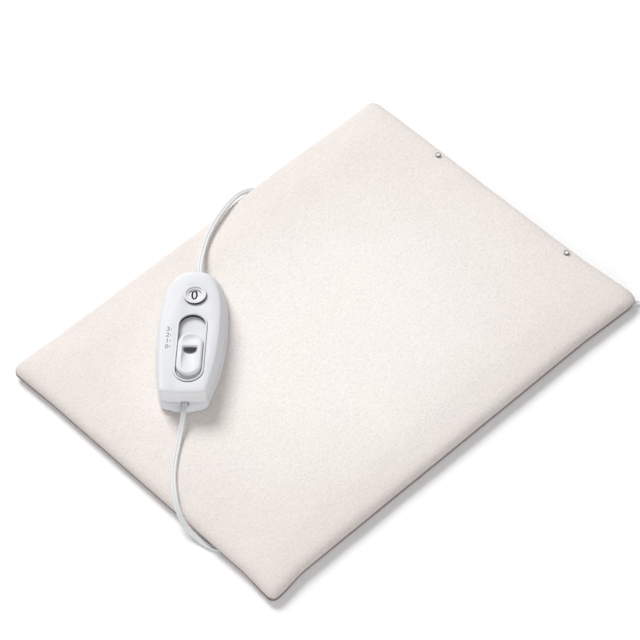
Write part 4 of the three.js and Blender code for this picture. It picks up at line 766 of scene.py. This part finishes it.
def buildUpperShell():
    parting, height, wall = housing["parting"], housing["height"], housing["wall"]
    rows = between(housing["sections"][housing["partingRow"]:], 5)
    foot = parting + housing["seam"] / 2
    shell = housingForm(rows, 0, foot, height, None)
    cut(shell, housingForm(rows, wall, foot, height - wall, "low"))
    low, high = housing["recess"]
    wide, floor, skin = housing["recessHalf"], housing["recessFloor"], housing["recessWall"]
    well = loft([stadium(low - skin, high + skin, wide + skin, floor - skin),
                 stadium(low - skin, high + skin, wide + skin, height - 0.5)])
    cut(shell, well, "UNION")
    cut(shell, loft([stadium(low, high, wide, floor), stadium(low, high, wide, height + 3)]))
    slotLow, slotHigh, slotHalf = housing["stemSlot"]
    cut(shell, block(slotLow, slotHigh, -slotHalf, slotHalf, floor - 3, floor + 0.3))
    cut(shell, post(housing["windowHole"], housing["window"], 0, height - 6, height + 3, 64))
    cut(shell, block(*housing["stripPocket"]))
    cordNotches(shell)
    softened(shell, housing["edge"], 42)
    seat(shell, "housing_top", controllerFrame, body, "white_shell", ("controller_upper_shell",), smooth=32)


def buildLowerShell():
    parting, wall = housing["parting"], housing["wall"]
    rows = between(housing["sections"][:housing["partingRow"] + 1], 5)
    rim = parting - housing["seam"] / 2
    shell = housingForm(rows, 0, 0, rim, None)
    cut(shell, housingForm(rows, wall, wall, rim, "high"))
    for x, y in housingBosses():
        cut(shell, post(housing["bossRadius"], x, y, 1, rim), "UNION")
        cut(shell, post(housing["headHole"], x, y, -3, housing["headDepth"]))
        cut(shell, post(housing["screwHole"], x, y, -3, rim + 3))
    cordNotches(shell)
    softened(shell, housing["edge"], 42)
    seat(shell, "housing_bottom", controllerFrame, body, "white_shell", ("controller_lower_shell",), smooth=32)


buildUpperShell()
buildLowerShell()
print("housing made")

# slider knob: drafted body with soft rims, a deep thumb scoop up to the crest and a shallow bowl beyond it
knob = {"length": 41.2, "half": 10.3, "flange": 1.1, "flangeSide": 0.6, "flangeHeight": 1.3, "rise": 6.4,
        "rounding": 1.8, "draft": 0.5, "centre": -28.2, "step": 7.2, "crest": 1.4, "hollowHalf": 6, "endInset": 2.8,
        "scoopDepth": 4.2, "bowlDepth": 1.7, "stem": (7, 6, 13.25), "voxel": 0.27,
        "scoop": [(0, .98, 1.2), (.14, 1, 1.15), (.3, 1, .9), (.5, 1, .62), (.68, .98, .38), (.84, .88, .2),
                  (.95, .6, .1), (1, .3, .04)],
        "bowl": [(0, .9, .12), (.25, 1, .5), (.45, 1, .9), (.62, .96, 1), (.8, .82, .75), (.93, .6, .35),
                 (1, .3, .1)]}


def knobHollow(start, end, shares, depth, bend):
    top = housing["recessFloor"] + knob["rise"]
    rings = []
    for along, wide, deep in between(shares, 4):
        x, half = start + (end - start) * along, knob["hollowHalf"] * wide
        ring = [(x, half, top + 3), (x, -half, top + 3)]
        for step in range(25):
            angle = pi + pi * step / 24
            ring.append((x, half * cos(angle), top - depth * deep * abs(sin(angle)) ** bend))
        rings.append(ring)
    return loft(rings)


def buildKnob():
    floor, centre, half = housing["recessFloor"] + 0.3, knob["centre"], knob["length"] / 2
    top = housing["recessFloor"] + knob["rise"]

    def outline(grow, growSide, height):
        return [(centre + x, y, z)
                for x, y, z in stadium(-half - grow, half + grow, knob["half"] + growSide, height)]

    rings = [outline(0, 0, floor + 0.5)]
    for step in range(9):
        angle = step / 8 * pi / 2
        grow = -knob["draft"] - knob["rounding"] * (1 - cos(angle))
        rings.append(outline(grow, grow, top - knob["rounding"] * (1 - sin(angle))))
    piece = loft(rings)
    cut(piece, loft([outline(knob["flange"], knob["flangeSide"], floor),
                     outline(knob["flange"], knob["flangeSide"], floor + knob["flangeHeight"])]), "UNION")
    length, width, stemFoot = knob["stem"]
    stem = block(centre - length / 2, centre + length / 2, -width / 2, width / 2, stemFoot, floor + 0.6)
    cut(piece, stem, "UNION")
    step, reach = centre + knob["step"], half - knob["endInset"]
    cut(piece, knobHollow(step, centre - reach, knob["scoop"], knob["scoopDepth"], 1))
    cut(piece, knobHollow(step + knob["crest"], centre + reach, knob["bowl"], knob["bowlDepth"], 1.5))
    pick(piece)
    piece.data.remesh_voxel_size = knob["voxel"]
    ops.object.voxel_remesh()
    applied(piece, "SMOOTH", factor=0.5, iterations=4)
    seat(piece, "thumb_slider_knob", controllerFrame, slider, "knob", ("slide_knob",), smooth=180)


buildKnob()
print("knob made")

# low bead round the recess, with a dark ring under it as painted shadow and a dark lining in the recess as painted
# shade
track = {"ends": (-52.4, 11.8), "half": 10.45, "shadeLining": 0.25, "shadeLiningTop": -0.92, "recessShadowShift": (-0.35, -0.12),
         "recessShadowOut": 1.62, "recessShadowIn": 1.1, "recessShadowFoot": 0.02, "recessShadowRise": 0.22,
         "bead": [(0, -.9), (0, .4), (.2, .68), (.5, .8), (.85, .72), (1.2, .5), (1.5, .25), (1.5, .05), (.8, .02),
                  (.8, -.9)]}


def trackRing(profile, name, slotName, shift=(0, 0)):
    (x0, x1), height = track["ends"], housing["height"]
    rings = [[(x + shift[0], y + shift[1], z) for x, y, z in
              stadium(x0 - out, x1 + out, track["half"] + out, height + rise)] for out, rise in profile]
    piece = loft(rings + [rings[0]])
    ops.object.mode_set(mode="EDIT")
    mesh = bmesh.from_edit_mesh(piece.data)
    bmesh.ops.delete(mesh, geom=[face for face in mesh.faces if len(face.verts) > 4], context="FACES_ONLY")
    bmesh.ops.remove_doubles(mesh, verts=mesh.verts, dist=0.0001)
    bmesh.ops.recalc_face_normals(mesh, faces=mesh.faces)
    bmesh.update_edit_mesh(piece.data)
    ops.object.mode_set(mode="OBJECT")
    seat(piece, name, controllerFrame, body, slotName, smooth=40)


def buildTrack():
    trackRing(track["bead"], "recess_bead", "white_shell")
    floor = housing["recessFloor"] - housing["height"] + 0.05
    # dark pieces that stand for shade: a ring under the bead, shifted towards its shaded side, and a lining on the
    # recess wall
    for name, near, far, low, high, shift in (
            ("recess_joint", track["recessShadowIn"], track["recessShadowOut"], track["recessShadowFoot"], track["recessShadowRise"],
             track["recessShadowShift"]),
            ("recess_lining", 0, track["shadeLining"], floor, track["shadeLiningTop"], (0, 0))):
        trackRing([(near, low), (far, low), (far, high), (near, high)], name, "dark_plastic", shift)


buildTrack()

# window: raised ring with a magnifier over the numbered strip
window = {"place": (30.4, 0), "radius": 9, "rise": 1.8, "lip": 1.7, "dish": 1.1, "flange": 0.4, "spigot": 7.6,
          "spigotDepth": 5, "bore": 5.5, "ledge": 5.2, "ledgeHeight": 0.5, "lens": 5.6, "lensCurve": 11,
          "lensEdge": 4.6, "edge": 0.15, "shadowRing": 8.95, "windowShadowShift": (-0.2, -0.3),
          "digits": (33.2, 0.7), "pitch": 6, "digitSize": 7.6, "digitBolder": 0.11, "digitTop": 18.53}


def buildWindow():
    height, radius, spigot = housing["height"], window["radius"], window["spigot"]
    top, bottom = height + 0.3 + window["rise"], height - window["spigotDepth"]
    under, inner, dish = top - window["flange"], radius - window["lip"], top - window["dish"]
    ledge, bore, ledgeTop = window["ledge"], window["bore"], bottom + window["ledgeHeight"]
    ring = spun([(ledge, bottom), (spigot, bottom), (spigot, under), (radius, under), (radius, top - 0.2),
                 (radius - 0.2, top), (inner, top), (inner - 0.1, dish), (bore, dish), (bore, ledgeTop),
                 (ledge, ledgeTop)], window["place"], 72, closed=True)
    softened(ring, window["edge"], 25)
    seat(ring, "window_ring", controllerFrame, body, "white_shell", ("window_bezel",), smooth=35)
    # dark ring under the raised ring, shifted towards its shaded side: painted shadow
    across = [place + shift for place, shift in zip(window["place"], window["windowShadowShift"])]
    shadowRing = spun([(spigot + 0.5, height), (window["shadowRing"], height), (window["shadowRing"], under - 0.02),
                 (spigot + 0.5, under - 0.02)], across, 72, closed=True)
    seat(shadowRing, "window_seal", controllerFrame, body, "dark_plastic", smooth=35)
    foot, curve = ledgeTop + 0.3, window["lensCurve"]
    capAngle = math.asin(window["lens"] / curve)
    profile = [(0, foot), (window["lens"], foot)]
    for step in range(17):
        angle = capAngle * (1 - step / 16)
        profile.append((curve * sin(angle), foot + window["lensEdge"]
                        + curve * (cos(angle) - cos(capAngle))))
    lens = spun(profile, window["place"], 72)
    seat(lens, "dome_magnifier", controllerFrame, body, "magnifier", ("window_magnifier",), smooth=35)


def lettering(text, size, slant, thickness, thin, x, y, z):
    pick(None)
    ops.object.text_add()
    obj = bpy.context.object
    obj.data.body = text
    obj.data.size = size
    obj.data.shear = slant
    obj.data.extrude = thickness
    obj.data.offset = thin
    obj.data.align_x = "CENTER"
    obj.data.align_y = "CENTER"
    obj.data.resolution_u = 6
    ops.object.convert(target="MESH")
    obj.data.transform(Matrix.Translation((x, y, z)) @ Matrix.Rotation(-pi / 2, 4, "Z"))
    return obj


# printed numerals beside the slider, each with a dot
scale = {"places": (-20.6, -14.9, -9.2, -3.5), "line": 18.7, "dotLine": 16.3, "size": 5.6, "slant": 0.08,
         "dotRadius": 0.5, "thickness": 0.02, "bolder": 0.07}


def buildNumerals():
    top = housing["height"] + scale["thickness"] + 0.005
    for level, x in enumerate(scale["places"]):
        numeral = lettering(str(level), scale["size"], scale["slant"], scale["thickness"], scale["bolder"], x,
                            scale["line"], top)
        seat(numeral, "printed_level_" + str(level), controllerFrame, body, "white_shell", look="printed_grey")
        dot = post(scale["dotRadius"], x, scale["dotLine"], top - 0.02, top + 0.02, 20)
        seat(dot, "printed_dot_" + str(level), controllerFrame, body, "white_shell", look="printed_grey", smooth=30)
        digit = lettering(str(level), window["digitSize"], 0, 0.02, window["digitBolder"],
                          window["digits"][0] - window["pitch"] * level, window["digits"][1], window["digitTop"])
        seat(digit, "strip_digit_" + str(level), controllerFrame, slider, "strip", look="printed_red")


buildWindow()
buildNumerals()
print("window and numerals made")

# press studs: rolled cap on a post, socket under it
stud = {"x": 191, "places": (66, -80.1), "radius": 2.4, "height": 0.5, "post": 0.85, "sunk": 0.5, "lip": 0.95}


def buildStuds():
    for index, y in enumerate(stud["places"]):
        cap, socket = "press_stud_cap_" + str(index + 1), "press_stud_socket_" + str(index + 1)
        low, high = [corner[2] * 1000 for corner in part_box(cap)]
        rim, top = stud["radius"], high - stud["sunk"]
        seatZ, inner = top - stud["height"], rim - stud["lip"]
        piece = spun([(0, low), (stud["post"], low), (stud["post"], seatZ), (rim, seatZ), (rim, top - 0.25),
                      (rim - 0.3, top), (inner + 0.2, top), (inner, top - 0.3), (0, top - 0.3)], (stud["x"], y), 48)
        softened(piece, 0.15, 25)
        seat(piece, "rolled_" + cap, millimetre, body, "stud", (cap,), smooth=40)
        middle = post(inner, stud["x"], y, top - 0.29, top - 0.22, 40)
        seat(middle, "press_stud_middle_" + str(index + 1), millimetre, body, "stud", look="stud_middle", smooth=40)
        low, high = [corner[2] * 1000 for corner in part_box(socket)]
        bore = stud["post"] + 0.3
        piece = spun([(bore, low), (rim, low), (rim, high), (bore, high)], (stud["x"], y), 48, closed=True)
        softened(piece, 0.15, 40, segments=2)
        seat(piece, "ringed_" + socket, millimetre, body, "stud", (socket,), smooth=40)


buildStuds()

# the parts inside keep their own shape and get their finish
for row in frame["record"]["subparts"]:
    node = frame["nodes"][row["node"]]
    node.data.materials.clear()
    node.data.materials.append(materials[row["material_slot"]])
print("inner parts finished")

# plain white floor and backdrop, soft light from behind on the left and a low fill from the front left
stage = {"floor": 8, "floorDrop": 0.0002, "floorColour": 0.97, "floorRoughness": 0.9, "floorGloss": 0.1,
         "glow": 0.06, "ambient": 0.4,
         "key": {"place": (0.67, 3.24, 3.32), "size": 2.3, "power": 183},
         "fill": {"place": (-1.2, -1.7, 0.45), "size": 1.4, "power": 14}}


def buildStage():
    pick(None)
    ops.mesh.primitive_plane_add(size=stage["floor"], location=(0, 0, -stage["floorDrop"]))
    floor = bpy.context.object
    floor.name = "floor"
    mat = bpy.data.materials.new("floor")
    mat.use_nodes = True
    tree = mat.node_tree
    shader = feed(tree, tree.nodes["Principled BSDF"], {
        "Base Color": (stage["floorColour"],) * 3 + (1,), "Roughness": stage["floorRoughness"],
        "Specular IOR Level": stage["floorGloss"]})
    # the floor glows a little, though only as it is seen, so it lights nothing
    path = added(tree, "LightPath").outputs
    either = added(tree, "Math", {0: path["Is Camera Ray"], 1: path["Is Glossy Ray"]}, operation="MAXIMUM")
    either = added(tree, "Math", {0: either.outputs["Value"], 1: path["Is Transmission Ray"]}, operation="MAXIMUM")
    seen = added(tree, "Math", {0: either.outputs["Value"], 1: stage["glow"]}, operation="MULTIPLY")
    glow = added(tree, "Emission", {"Strength": seen.outputs["Value"]})
    both = added(tree, "AddShader", {0: shader.outputs["BSDF"], 1: glow.outputs["Emission"]})
    feed(tree, tree.nodes["Material Output"], {"Surface": both.outputs["Shader"]})
    floor.data.materials.append(mat)

    world = bpy.data.worlds.new("studio")
    scene.world = world
    world.use_nodes = True
    tree = world.node_tree
    spread = added(tree, "MapRange", {"To Min": stage["ambient"], "To Max": 1,
                                      "Value": added(tree, "LightPath").outputs["Is Camera Ray"]})
    feed(tree, tree.nodes["Background"], {"Color": (1, 1, 1, 1), "Strength": spread.outputs["Result"]})

    for name in ("key", "fill"):
        lamp = bpy.data.lights.new(name, "AREA")
        lamp.shape = "DISK"
        lamp.size = stage[name]["size"]
        lamp.energy = stage[name]["power"]
        holder = bpy.data.objects.new(name, lamp)
        scene.collection.objects.link(holder)
        place = Vector(stage[name]["place"])
        aim = (-place).to_track_quat("-Z", "Y").to_matrix().to_4x4()
        holder.matrix_world = Matrix.Translation(place) @ aim


buildStage()
scene.view_settings.view_transform = "Standard"
print("stage lit")
